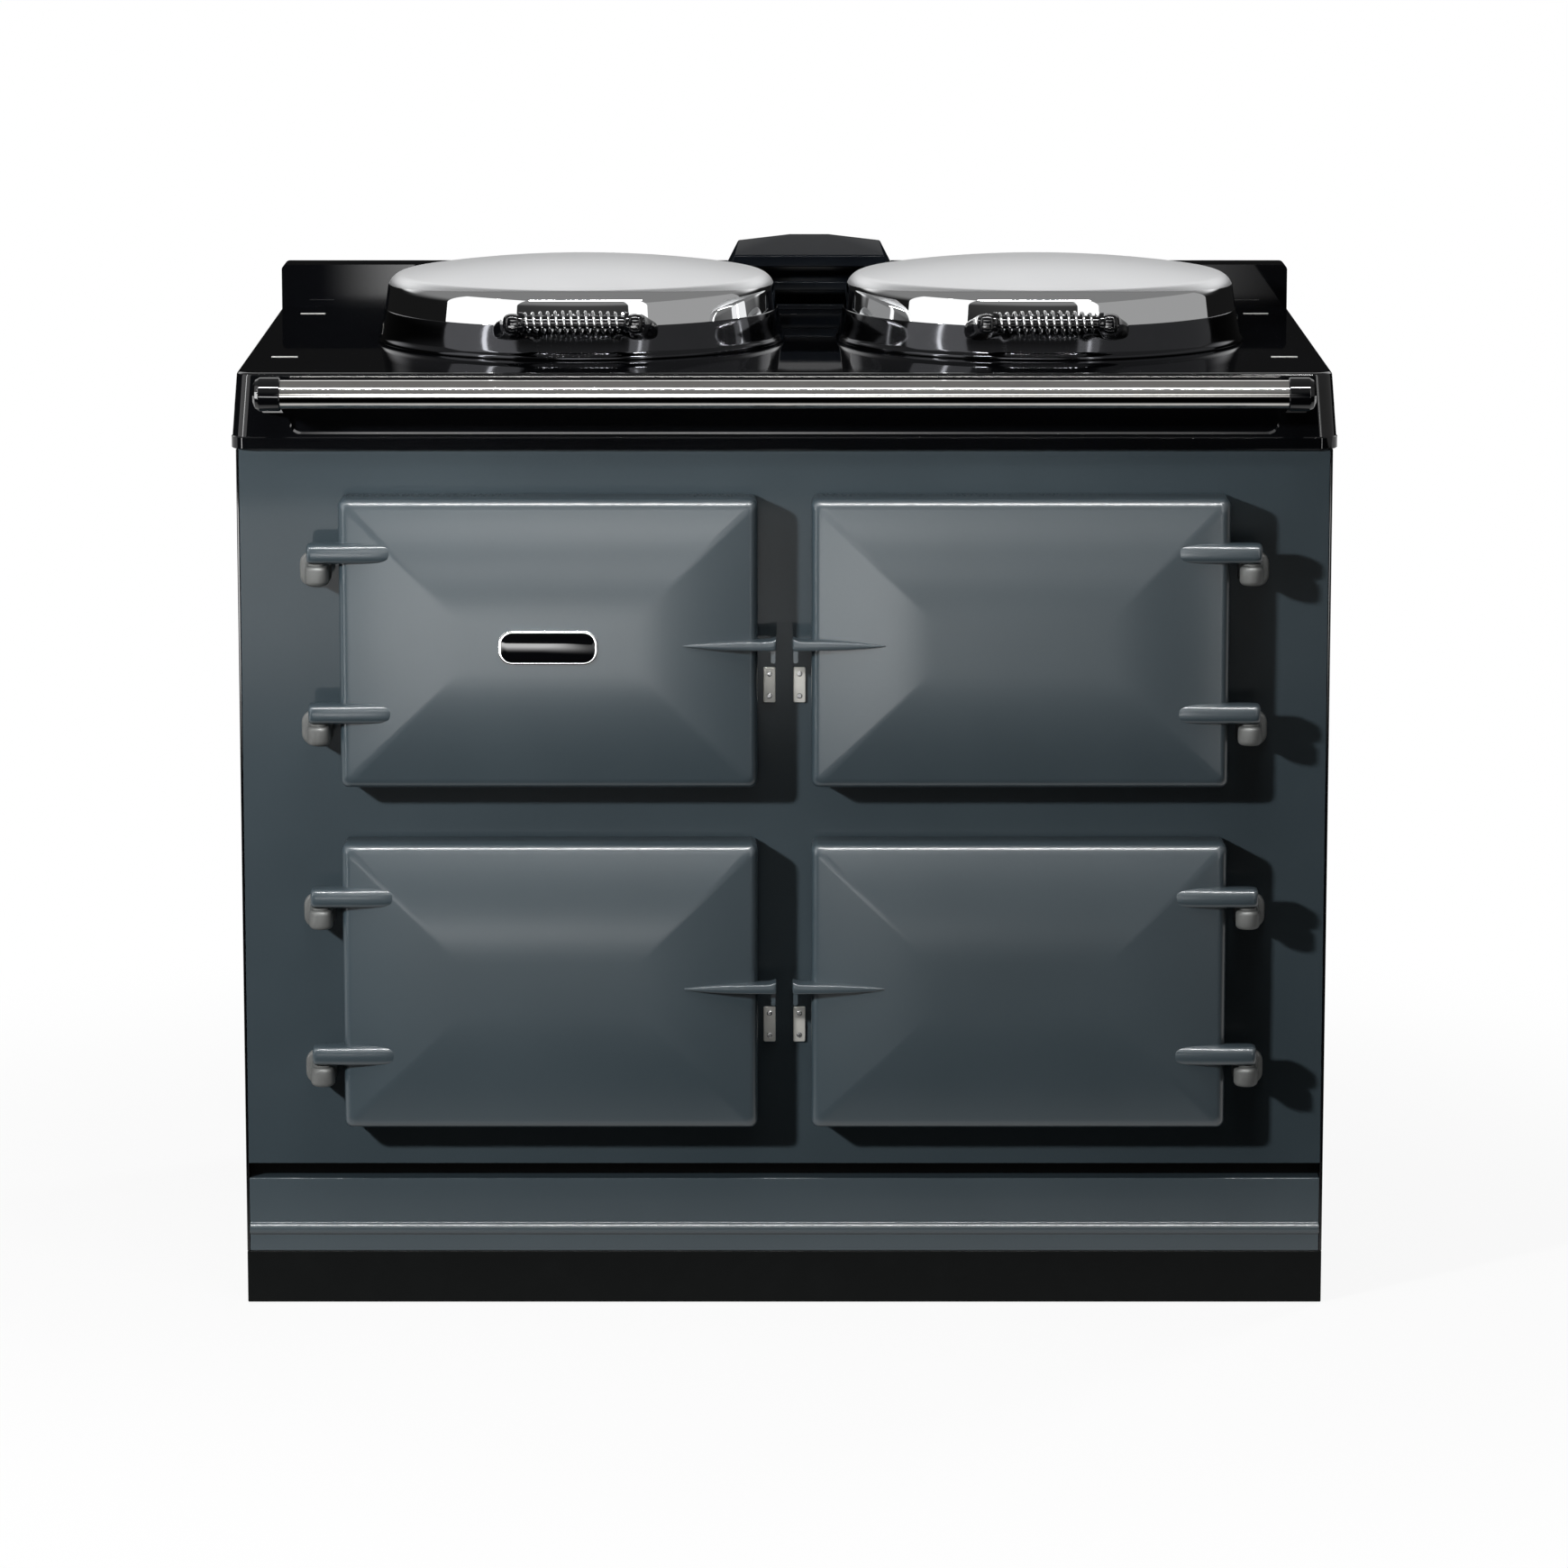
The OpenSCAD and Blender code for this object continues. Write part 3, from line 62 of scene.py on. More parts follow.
Point = tuple[float, float, float]
Colour = tuple[float, float, float]
Looks = tuple[bpy.types.NodeSocket, "Wire", bpy.types.NodeSocket]
Plaque = tuple[float, float, float, float, float]  # width, height, corner, thickness and eased front edge

WHITE: Colour = (1.0, 1.0, 1.0)
UPRIGHT: Point = (math.pi / 2, 0.0, 0.0)


def metres(point: Sequence[float]) -> Point:
    """A point in millimetres, turned to metres."""
    return tuple(part * MM for part in point)


def linear(*screen: int) -> Colour:
    """Turn an 8-bit screen colour into linear light.

    Args:
        screen: Red, green and blue from 0 to 255.

    Returns:
        The three linear parts.
    """
    shares = (value / 255.0 for value in screen)
    return tuple(share / 12.92 if share <= 0.04045 else ((share + 0.055) / 1.055) ** 2.4 for share in shares)


# ---------- Shader graphs ----------


class Wire:
    """A node's output that adds Math nodes when it is used in an expression."""

    def __init__(self, graph: Graph, socket: bpy.types.NodeSocket) -> None:
        """Keep the graph and the output socket."""
        self.graph = graph
        self.socket = socket

    def maths(self, operation: str, *others: Wire | float, swap: bool = False) -> Wire:
        """Add one Math node.

        Args:
            operation: The Math node's operation.
            others: The other operands.
            swap: True where this wire is the second operand.

        Returns:
            The node's result.
        """
        node = self.graph.node("Math", {"operation": operation})
        for socket, operand in zip(node.inputs, (*others, self) if swap else (self, *others)):
            self.graph.feed(socket, operand)
        return self.graph.out(node)

    def __add__(self, other: Wire | float) -> Wire:
        """Sum."""
        return self.maths("ADD", other)

    def __sub__(self, other: Wire | float) -> Wire:
        """Difference."""
        return self.maths("SUBTRACT", other)

    def __rsub__(self, other: float) -> Wire:
        """Difference from a number."""
        return self.maths("SUBTRACT", other, swap=True)

    def __mul__(self, other: Wire | float) -> Wire:
        """Product."""
        return self.maths("MULTIPLY", other)

    def wave(self, turns: float) -> Wire:
        """A sine from -1 to 1 with that many radians a unit."""
        return (self * turns).maths("SINE")

    def radius(self, other: Wire) -> Wire:
        """Length of the vector that this wire and another one span."""
        return (self * self + other * other).maths("POWER", 0.5)

    def step(self, low: float, high: float) -> Wire:
        """A smooth step from 0 at low to 1 at high."""
        settings = {"interpolation_type": "SMOOTHSTEP"}
        return self.graph.out(self.graph.node("MapRange", settings, Value=self, From_Min=low, From_Max=high), "Result")


class Noise(Enum):
    """Noise fields: cells a metre, octaves and share of the finer ones."""

    CLOUD = (5.0, 3.0, 0.55)
    MOTTLE = (420.0, 2.0, 0.6)
    PEEL = (70.0, 2.0, 0.45)
    PINS = (520.0, 1.0, 0.5)
    HANDLING = (28.0, 4.0, 0.65)
    HAZE = (9.0, 3.0, 0.55)
    SMEARS = (45.0, 4.0, 0.6)
    HEAT = (14.0, 4.0, 0.6)
    PITS = (900.0, 2.0, 0.5)
    WEAR = (26.0, 4.0, 0.6)
    SCRATCH = (160.0, 3.0, 0.7)
    FIBRE = (2400.0, 2.0, 0.6)


class Graph:
    """The node tree of one material or of the world."""

    def __init__(self, owner: bpy.types.Material | bpy.types.World) -> None:
        """Turn the owner's nodes on and empty its tree.

        Args:
            owner: The material or world.
        """
        owner.use_nodes = True
        self.tree = owner.node_tree
        self.tree.nodes.clear()

    def node(self, kind: str, settings: dict | None = None, **sockets: object) -> bpy.types.Node:
        """Add a node.

        Args:
            kind: The node's type, without its prefix.
            settings: Properties that are set first.
            sockets: Values, wires or output sockets, by input name with _ for a space.

        Returns:
            The new node.
        """
        made = self.tree.nodes.new(f"ShaderNode{kind}")
        for key, value in (settings or {}).items():
            setattr(made, key, value)
        for key, value in sockets.items():
            self.feed(made.inputs[key.replace("_", " ")], value)
        return made

    def feed(self, socket: bpy.types.NodeSocket, value: object) -> None:
        """Link a wire or an output to a socket, or set its value.

        Args:
            socket: The input.
            value: What it gets.
        """
        if isinstance(value, Wire):
            self.tree.links.new(value.socket, socket)
        elif isinstance(value, bpy.types.NodeSocket):
            self.tree.links.new(value, socket)
        elif isinstance(value, tuple) and len(value) == 3 and socket.type == "RGBA":
            socket.default_value = (*value, 1.0)
        else:
            socket.default_value = value

    def out(self, made: bpy.types.Node, name: str | int = 0) -> Wire:
        """One output of a node as a wire."""
        return Wire(self, made.outputs[name])

    def end(self, shader: bpy.types.Node, kind: str = "OutputMaterial") -> None:
        """Link a shader to a new output node."""
        self.feed(self.node(kind).inputs[0], shader.outputs[0])

    def place(self, centre: Point = (0.0, 0.0, 0.0), scale: Point = (1.0, 1.0, 1.0)) -> bpy.types.NodeSocket:
        """Object coordinates in metres, measured from a centre and stretched.

        Args:
            centre: The point that becomes the origin.
            scale: The stretch along each axis.

        Returns:
            The vector output.
        """
        spot = self.node("TexCoord").outputs["Object"]
        for operation, operand in (("SUBTRACT", centre), ("MULTIPLY", scale)):
            step = self.node("VectorMath", {"operation": operation})
            self.feed(step.inputs[0], spot)
            self.feed(step.inputs[1], operand)
            spot = step.outputs[0]
        return spot

    def axes(self, vector: bpy.types.NodeSocket) -> tuple[Wire, Wire, Wire]:
        """The three parts of a vector."""
        parts = self.node("SeparateXYZ", Vector=vector)
        return self.out(parts, 0), self.out(parts, 1), self.out(parts, 2)

    def noise(self, vector: bpy.types.NodeSocket, scale: float, detail: float, rough: float) -> Wire:
        """Smooth noise from 0 to 1.

        Args:
            vector: Where it is read.
            scale: Cells a metre.
            detail: Octaves.
            rough: Share of the finer octaves.

        Returns:
            The noise.
        """
        return self.out(self.node("TexNoise", Vector=vector, Scale=scale, Detail=detail, Roughness=rough))

    def rings(self, radius: Wire, scale: float, detail: float, rough: float) -> Wire:
        """Noise along a radius, with the cells, octaves and finer share of noise().

        Args:
            radius: Distance from the axis in metres.
            scale: Cells a metre.
            detail: Octaves.
            rough: Share of the finer octaves.

        Returns:
            The noise.
        """
        line = {"noise_dimensions": "1D"}
        return self.out(self.node("TexNoise", line, W=radius * scale, Scale=1.0, Detail=detail, Roughness=rough))

    def cells(self, vector: bpy.types.NodeSocket, scale: float) -> Wire:
        """Random grey of cells, from 0 to 1."""
        made = self.node("TexVoronoi", Vector=vector, Scale=scale)
        return self.out(self.node("SeparateColor", Color=made.outputs["Color"]))

    def blend(self, share: Wire, low: object, high: object) -> bpy.types.NodeSocket:
        """Mix two colours.

        Args:
            share: 0 gives low and 1 gives high.
            low: A colour or colour output.
            high: A colour or colour output.

        Returns:
            The colour output.
        """
        made = self.node("Mix", {"data_type": "RGBA"})
        for place, value in ((0, share), (6, low), (7, high)):
            self.feed(made.inputs[place], value)
        return made.outputs[2]

    def layer(self, share: Wire, low: bpy.types.Node, high: bpy.types.Node) -> bpy.types.Node:
        """Mix two shaders.

        Args:
            share: 0 gives low and 1 gives high.
            low: A shader.
            high: A shader.

        Returns:
            The mixed shader.
        """
        made = self.node("MixShader")
        for place, value in enumerate((share, low.outputs[0], high.outputs[0])):
            self.feed(made.inputs[place], value)
        return made

    def relief(self, height: Wire, depth: float, under: bpy.types.NodeSocket | None = None) -> bpy.types.NodeSocket:
        """Bump from a height of 0 to 1.

        Args:
            height: The height.
            depth: What a height of 1 is, in metres.
            under: A normal from another bump.

        Returns:
            The normal output.
        """
        lower = {} if under is None else {"Normal": under}
        return self.node("Bump", Strength=1.0, Distance=depth, Height=height, **lower).outputs[0]


# ---------- Finishes ----------


@dataclass(frozen=True)
class Finish:
    """A finish that keeps one material for all the pieces that wear it."""

    name: str
    metallic: float = 0.0
    coat: float = 0.0
    coat_rough: float = 0.03
    coat_ior: float = 1.5
    ior: float = 1.5

    def material(self) -> bpy.types.Material:
        """The finish's material, made when it is first asked for.

        Returns:
            The material.
        """
        title = f"{self.name}_finish"
        found = bpy.data.materials.get(title)
        if found is not None:
            return found
        made = bpy.data.materials.new(title)
        graph = Graph(made)
        shader = graph.node(
            "BsdfPrincipled", Metallic=self.metallic, Coat_Weight=self.coat, Coat_Roughness=self.coat_rough,
            Coat_IOR=self.coat_ior, IOR=self.ior,
        )
        graph.end(shader)
        for name, value in zip(("Base Color", "Roughness", "Normal"), self.looks(graph)):
            graph.feed(shader.inputs[name], value)
        return made

    def looks(self, graph: Graph) -> Looks:
        """Colour, roughness and normal; each kind of finish has its own."""
        raise NotImplementedError


@dataclass(frozen=True)
class Enamel(Finish):
    """Glossy vitreous enamel that has run a little in the kiln."""

    deep: Colour = (0.1, 0.1, 0.1)
    pale: Colour = (0.2, 0.2, 0.2)
    rough: float = 0.24
    peel: float = 0.00006

    def looks(self, graph: Graph) -> Looks:
        """Clouded colour, orange peel and faint pin marks.

        Args:
            graph: The material's graph.

        Returns:
            Colour, roughness and normal.
        """
        spot = graph.place()
        cloud = graph.noise(spot, *Noise.CLOUD.value)
        mottle = graph.noise(spot, *Noise.MOTTLE.value)
        colour = graph.blend((cloud - 0.3) * 1.6 + (mottle - 0.5) * 0.25, self.deep, self.pale)
        peel = graph.relief(graph.noise(spot, *Noise.PEEL.value), self.peel)
        pins = graph.relief(graph.noise(spot, *Noise.PINS.value), self.peel * 0.04, peel)
        return colour, (cloud * 0.3 + mottle * 0.2 + 0.75) * self.rough, pins


@dataclass(frozen=True)
class Polish(Finish):
    """Polished or brushed metal with faint streaks along one direction."""

    colour: Colour = (0.8, 0.8, 0.8)
    rough: float = 0.08
    streak: Point = (1.0, 1.0, 1.0)
    grain: float = 300.0
    depth: float = 0.000002
    smudge: float = 0.06

    def looks(self, graph: Graph) -> Looks:
        """Streaked roughness with handling marks.

        Args:
            graph: The material's graph.

        Returns:
            Colour, roughness and normal.
        """
        streaks = graph.noise(graph.place(scale=self.streak), self.grain, 4.0, 0.7)
        marks = graph.noise(graph.place(), *Noise.HANDLING.value)
        dull = tuple(part * 0.86 for part in self.colour)
        rough = streaks * self.smudge + marks.step(0.45, 0.8) * self.smudge + self.rough
        return graph.blend((marks - 0.35) * 1.5, self.colour, dull), rough, graph.relief(streaks, self.depth)


@dataclass(frozen=True)
class LidChrome(Finish):
    """Chrome dome: a satin spun crown above a mirror shoulder and side."""

    centre: Point = (0.0, 0.0, 0.0)
    change: float = 0.0
    colour: Colour = (0.8, 0.8, 0.8)
    satin: Colour = (0.62, 0.63, 0.65)

    def looks(self, graph: Graph) -> Looks:
        """Concentric satin on the crown and a clear mirror below it.

        Args:
            graph: The material's graph.

        Returns:
            Colour, roughness and normal.
        """
        spot = graph.place(self.centre)
        east, north, up = graph.axes(spot)
        crown = (up + east * east * 0.28).step(self.change - 0.0008, self.change + 0.0002)
        rings = graph.rings(east.radius(north), 900.0, 4.0, 0.7)
        haze = graph.noise(spot, *Noise.HAZE.value)
        satin = rings * 0.08 + haze * 0.06 + 0.30
        mirror = graph.noise(spot, *Noise.SMEARS.value).step(0.5, 0.85) * 0.03 + 0.014
        colour = graph.blend(crown * (haze * 0.25 + 0.1), self.colour, self.satin)
        return colour, mirror * (1.0 - crown) + satin * crown, graph.relief(rings * crown, 0.000004)


@dataclass(frozen=True)
class Turned(Finish):
    """Metal that was turned on a lathe about an upright axis."""

    centre: Point = (0.0, 0.0, 0.0)
    colour: Colour = (0.3, 0.3, 0.3)
    stain: Colour = (0.2, 0.2, 0.2)
    rough: float = 0.35
    depth: float = 0.00001

    def looks(self, graph: Graph) -> Looks:
        """Fine rings with heat stain.

        Args:
            graph: The material's graph.

        Returns:
            Colour, roughness and normal.
        """
        spot = graph.place(self.centre)
        east, north, _ = graph.axes(spot)
        rings = graph.rings(east.radius(north), 1400.0, 3.0, 0.6)
        heat = graph.noise(spot, *Noise.HEAT.value)
        pits = graph.noise(spot, *Noise.PITS.value)
        colour = graph.blend(heat.step(0.35, 0.7), self.colour, self.stain)
        return colour, rings * 0.12 + heat * 0.15 + (self.rough - 0.12), graph.relief(rings + pits * 0.4, self.depth)


@dataclass(frozen=True)
class Cast(Finish):
    """Sand-cast or powder-coated surface with a pebbled skin."""

    colour: Colour = (0.2, 0.2, 0.2)
    worn: Colour = (0.3, 0.3, 0.3)
    rough: float = 0.5
    grain: float = 700.0
    depth: float = 0.00008

    def looks(self, graph: Graph) -> Looks:
        """Pebbled relief with cloudy wear.

        Args:
            graph: The material's graph.

        Returns:
            Colour, roughness and normal.
        """
        spot = graph.place()
        pebble = graph.noise(spot, self.grain, 3.0, 0.6)
        cloud = graph.noise(spot, *Noise.WEAR.value)
        rough = pebble * 0.14 + cloud * 0.12 + (self.rough - 0.13)
        return graph.blend(cloud.step(0.4, 0.75), self.colour, self.worn), rough, graph.relief(pebble, self.depth)


@dataclass(frozen=True)
class Galvanised(Finish):
    """Zinc-coated sheet with spangle."""

    colour: Colour = (0.5, 0.5, 0.52)
    pale: Colour = (0.66, 0.67, 0.69)
    spangles: float = 75.0

    def looks(self, graph: Graph) -> Looks:
        """Crystal patches of two greys.

        Args:
            graph: The material's graph.

        Returns:
            Colour, roughness and normal.
        """
        spangle = graph.cells(graph.place(), self.spangles)
        scratch = graph.noise(graph.place(scale=(1.0, 1.0, 12.0)), *Noise.SCRATCH.value)
        colour = graph.blend(spangle, self.colour, self.pale)
        return colour, spangle * 0.18 + scratch * 0.08 + 0.3, graph.relief(scratch, 0.00001)


@dataclass(frozen=True)
class Braid(Finish):
    """Braided fibre rope that lies in an upright plane."""

    colour: Colour = (0.1, 0.1, 0.1)
    pale: Colour = (0.2, 0.2, 0.2)
    twist: float = 2200.0

    def looks(self, graph: Graph) -> Looks:
        """Crossing strands along the rope, with loose fibre.

        Args:
            graph: The material's graph.

        Returns:
            Colour, roughness and normal.
        """
        spot = graph.place()
        east, depth, up = graph.axes(spot)
        along, aside = east + up, depth * 2.0
        strands = (along + aside).wave(self.twist) * (along - aside).wave(self.twist)
        fibre = graph.noise(spot, *Noise.FIBRE.value)
        weave = strands * 0.5 + fibre * 0.4 + 0.3
        return graph.blend(weave, self.colour, self.pale), fibre * 0.1 + 0.82, graph.relief(weave, 0.0004)


class Metal(Enum):
    """Plain metal colours."""

    CHROME = (0.78, 0.785, 0.79)
    DARK_CHROME = (0.052, 0.053, 0.057)
    STEEL = (0.60, 0.585, 0.56)
    ALUMINIUM = (0.70, 0.705, 0.71)


SLATE = Enamel(
    "slate_enamel", coat=0.2, coat_rough=0.05, coat_ior=1.3, ior=1.18, deep=linear(60, 71, 77),
    pale=linear(70, 81, 87), rough=0.36, peel=0.000012,
)
SLATE_DOOR = Enamel(
    "slate_door_enamel", coat=1.0, coat_rough=0.21, coat_ior=1.4, deep=linear(58, 71, 78),
    pale=linear(67, 80, 87), rough=0.42, peel=0.000006,
)
BLACK = Enamel(
    "black_enamel", deep=(0.0024, 0.0026, 0.0032), pale=(0.004, 0.0044, 0.0056), rough=0.03, peel=0.000001,
)
COWL_BLACK = Cast(
    "cowl_enamel", coat=0.14, coat_rough=0.12, ior=1.03, colour=(0.004, 0.0054, 0.0078),
    worn=(0.006, 0.0078, 0.0104), grain=600.0, depth=0.00002,
)
PLINTH_BLACK = Cast(
    "plinth_black", ior=1.2, colour=linear(12, 14, 14), worn=linear(15, 17, 17), rough=0.38, grain=900.0,
    depth=0.00005,
)
MIRROR = Polish("bright_chrome", metallic=1.0, colour=Metal.CHROME.value, rough=0.04, smudge=0.05)
DARK_MIRROR = Polish("dark_chrome", metallic=1.0, colour=Metal.DARK_CHROME.value, rough=0.05, smudge=0.05)
RAIL_STEEL = Polish(
    "rail_steel", metallic=1.0, colour=Metal.STEEL.value, streak=(0.0006, 1.0, 1.0), grain=900.0, depth=0.0,
    smudge=0.012,
)
NICKEL = Cast(
    "hinge_nickel", metallic=0.25, colour=(0.17, 0.175, 0.17), worn=(0.13, 0.134, 0.13), grain=800.0,
    depth=0.00006,
)
KEEPER = Polish(
    "keeper_plate", metallic=0.3, colour=(0.72, 0.71, 0.66), rough=0.36, streak=(1.0, 1.0, 0.1), grain=800.0,
    depth=0.000005, smudge=0.12,
)
SHEET = Polish(
    "sheet_steel", metallic=1.0, colour=(0.52, 0.52, 0.53), rough=0.30, streak=(0.08, 1.0, 1.0), grain=700.0,
    depth=0.000005, smudge=0.12,
)
ZINC = Galvanised("galvanised_sheet", metallic=1.0)
PAN = Polish(
    "pan_aluminium", metallic=1.0, colour=Metal.ALUMINIUM.value, rough=0.24, streak=(1.0, 1.0, 0.1),
    grain=240.0, smudge=0.12,
)
OVEN_IRON = Cast(
    "oven_iron", coat=0.25, coat_rough=0.3, colour=(0.018, 0.018, 0.019), worn=(0.035, 0.033, 0.032),
    rough=0.48, grain=350.0, depth=0.00014,
)
ROPE = Braid("rope_seal", colour=(0.06, 0.06, 0.058), pale=(0.22, 0.215, 0.2))
WOOL = Cast("wool_core", colour=(0.42, 0.37, 0.22), worn=(0.5, 0.45, 0.3), rough=0.95, grain=1500.0, depth=0.0006)
DIAL = Cast(
    "dial_black", coat=0.2, coat_rough=0.2, colour=(0.012, 0.012, 0.012), worn=(0.02, 0.02, 0.02), rough=0.42,
    grain=1200.0, depth=0.00003,
)
# White for the dial pointers' print, and for the painted highlights on the hob.
PRINT_AND_GLINT_WHITE = Cast("print_and_glint_white", colour=(0.75, 0.75, 0.73), worn=(0.68, 0.68, 0.66), grain=1500.0, depth=0.00001)
SCREW = Polish("screw_steel", metallic=1.0, colour=(0.45, 0.45, 0.45), rough=0.22, grain=900.0, smudge=0.1)


# ---------- Workbench ----------


class Bench:
    """Edit-mode tools that work on one new object at a time, in millimetres."""

    @staticmethod
    def clear() -> None:
        """Leave edit mode and deselect everything."""
        if bpy.context.mode != "OBJECT":
            Bench.done()
        bpy.ops.object.select_all(action="DESELECT")

    @staticmethod
    def hold(*items: bpy.types.Object) -> None:
        """Select only these objects, with the first one active.

        Args:
            items: The objects.
        """
        Bench.clear()
        for item in items:
            item.select_set(True)
        bpy.context.view_layer.objects.active = items[0]

    @staticmethod
    def edit(item: bpy.types.Object) -> None:
        """Go into edit mode on one object, with everything selected.

        Args:
            item: The object.
        """
        Bench.hold(item)
        bpy.ops.object.mode_set(mode="EDIT")
        bpy.ops.mesh.select_all(action="SELECT")

    @staticmethod
    def done() -> None:
        """Go back to object mode."""
        bpy.ops.object.mode_set(mode="OBJECT")

    @staticmethod
    def add(name: str, data: bpy.types.ID) -> bpy.types.Object:
        """A new object in the scene.

        Args:
            name: Its name.
            data: The mesh, lamp or camera that it shows.

        Returns:
            The object.
        """
        item = bpy.data.objects.new(name, data)
        bpy.context.scene.collection.objects.link(item)
        return item

    @staticmethod
    def drop(*items: bpy.types.Object) -> None:
        """Remove objects that were only copied from."""
        for item in items:
            bpy.data.objects.remove(item)

    @staticmethod
    def named(name: str) -> bpy.types.Object:
        """Name the new active object and put its place into its mesh.

        Args:
            name: The name for the object and its mesh.

        Returns:
            The object.
        """
        item = bpy.context.view_layer.objects.active
        bpy.ops.object.transform_apply(location=True, rotation=True, scale=True)
        item.name = item.data.name = name
        item.data.materials.clear()
        return item

    @staticmethod
    def choose(item: bpy.types.Object, test: Callable[[bmesh.types.BMFace], bool]) -> None:
        """Edit an object with only the faces selected that pass a test.

        Args:
            item: The object.
            test: Says of a face whether it is selected.
        """
        Bench.edit(item)
        bpy.ops.mesh.select_mode(type="FACE")
        bpy.ops.mesh.select_all(action="DESELECT")
        mesh = bmesh.from_edit_mesh(item.data)
        for face in mesh.faces:
            face.select_set(test(face))
        mesh.select_flush(True)
        bmesh.update_edit_mesh(item.data)

    @staticmethod
    def choose_rim(item: bpy.types.Object) -> None:
        """Select only the open edges of the edited mesh.

        Args:
            item: The object that is edited.
        """
        bpy.ops.mesh.select_mode(type="EDGE")
        bpy.ops.mesh.select_all(action="DESELECT")
        mesh = bmesh.from_edit_mesh(item.data)
        for edge in mesh.edges:
            edge.select_set(edge.is_boundary)
        bmesh.update_edit_mesh(item.data)

    @staticmethod
    def push(x: float = 0.0, y: float = 0.0, z: float = 0.0) -> None:
        """Extrude the selection by a distance."""
        bpy.ops.mesh.extrude_region_move(TRANSFORM_OT_translate={"value": (x * MM, y * MM, z * MM)})

    @staticmethod
    def size(x: float, y: float, z: float, centre: Point) -> None:
        """Scale the selection about a centre."""
        bpy.ops.transform.resize(value=(x, y, z), center_override=metres(centre))

    @staticmethod
    def narrow(width: float, height: float, before: float, after: float, centre: Point) -> None:
        """Move the selected outline of an upright plate from one inset to another."""
        ratios = [(size / 2 - after) / (size / 2 - before) for size in (width, height)]
        Bench.size(ratios[0], 1.0, ratios[1], centre)

    @staticmethod
    def close() -> None:
        """Turn all faces of the edited mesh outwards and go back to object mode."""
        bpy.ops.mesh.select_all(action="SELECT")
        bpy.ops.mesh.normals_make_consistent(inside=False)
        Bench.done()

    @staticmethod
    def cap(item: bpy.types.Object) -> None:
        """Close the open rim of the edited mesh and finish it.

        Args:
            item: The object that is edited.
        """
        Bench.choose_rim(item)
        bpy.ops.mesh.edge_face_add()
        Bench.close()

    @staticmethod
    def sink(item: bpy.types.Object, rim: float, depth: float) -> None:
        """Inset the flat front of a plaque and push it back.

        Args:
            item: The plaque.
            rim: Width of the rim that stays.
            depth: Distance towards the back.
        """
        Bench.choose(item, lambda face: face.normal.y < -0.99)
        bpy.ops.mesh.inset(thickness=rim * MM)
        Bench.push(y=depth)
        Bench.done()
        Bench.shade(item, 30.0)

    @staticmethod
    def block(name: str, low: Point, high: Point, round_by: float, steps: int) -> bpy.types.Object:
        """A rectangular bar with rounded edges.

        Args:
            name: The piece's name.
            low: Lowest corner.
            high: Highest corner.
            round_by: Edge radius.
            steps: Faces across a rounded edge.

        Returns:
            The object.
        """
        Bench.clear()
        centre = [(a + b) / 2 * MM for a, b in zip(low, high)]
        span = [(b - a) * MM for a, b in zip(low, high)]
        bpy.ops.mesh.primitive_cube_add(size=1.0, location=centre, scale=span)
        item = Bench.named(name)
        Bench.edit(item)
        bpy.ops.mesh.bevel(offset=round_by * MM, segments=steps, profile=0.5, affect="EDGES")
        Bench.done()
        return item

    @staticmethod
    def outline(
        name: str, centre: Point, width: float, height: float, corner: float, steps: int, turn: Point = UPRIGHT
    ) -> bpy.types.Object:
        """A flat rectangle with rounded corners, left selected in edit mode.

        Args:
            name: The piece's name.
            centre: Its middle.
            width: Size along its first side.
            height: Size along its second side.
            corner: Corner radius.
            steps: Edges across a corner.
            turn: Rotation from the floor, in radians.

        Returns:
            The object.
        """
        Bench.clear()
        bpy.ops.mesh.primitive_plane_add(size=1.0, location=metres(centre), rotation=turn)
        bpy.context.active_object.scale = (width * MM, height * MM, 1.0)
        item = Bench.named(name)
        Bench.edit(item)
        bpy.ops.mesh.bevel(offset=corner * MM, segments=steps, affect="VERTICES")
        bpy.ops.mesh.select_all(action="SELECT")
        return item

    @staticmethod
    def plaque(
        name: str, centre: Point, width: float, height: float, corner: float, thick: float, ease: float
    ) -> bpy.types.Object:
        """A rounded plate on an upright face, with an eased front edge.

        Args:
            name: The piece's name.
            centre: Middle of the back face.
            width: Size along X.
            height: Size along Z.
            corner: Corner radius.
            thick: Growth towards the front.
            ease: Radius of the front edge.

        Returns:
            The object.
        """
        item = Bench.outline(name, centre, width, height, corner, 8)
        Bench.push(y=ease - thick)
        before = reach = 0.0
        for part in (0.25, 0.5, 0.75, 1.0):
            a = math.pi / 2 * part
            after, rise = ease * (1 - math.cos(a)), ease * math.sin(a)
            Bench.push(y=reach - rise)
            Bench.narrow(width, height, before, after, centre)
            before, reach = after, rise
        Bench.cap(item)
        Bench.shade(item, 30.0)
        return item

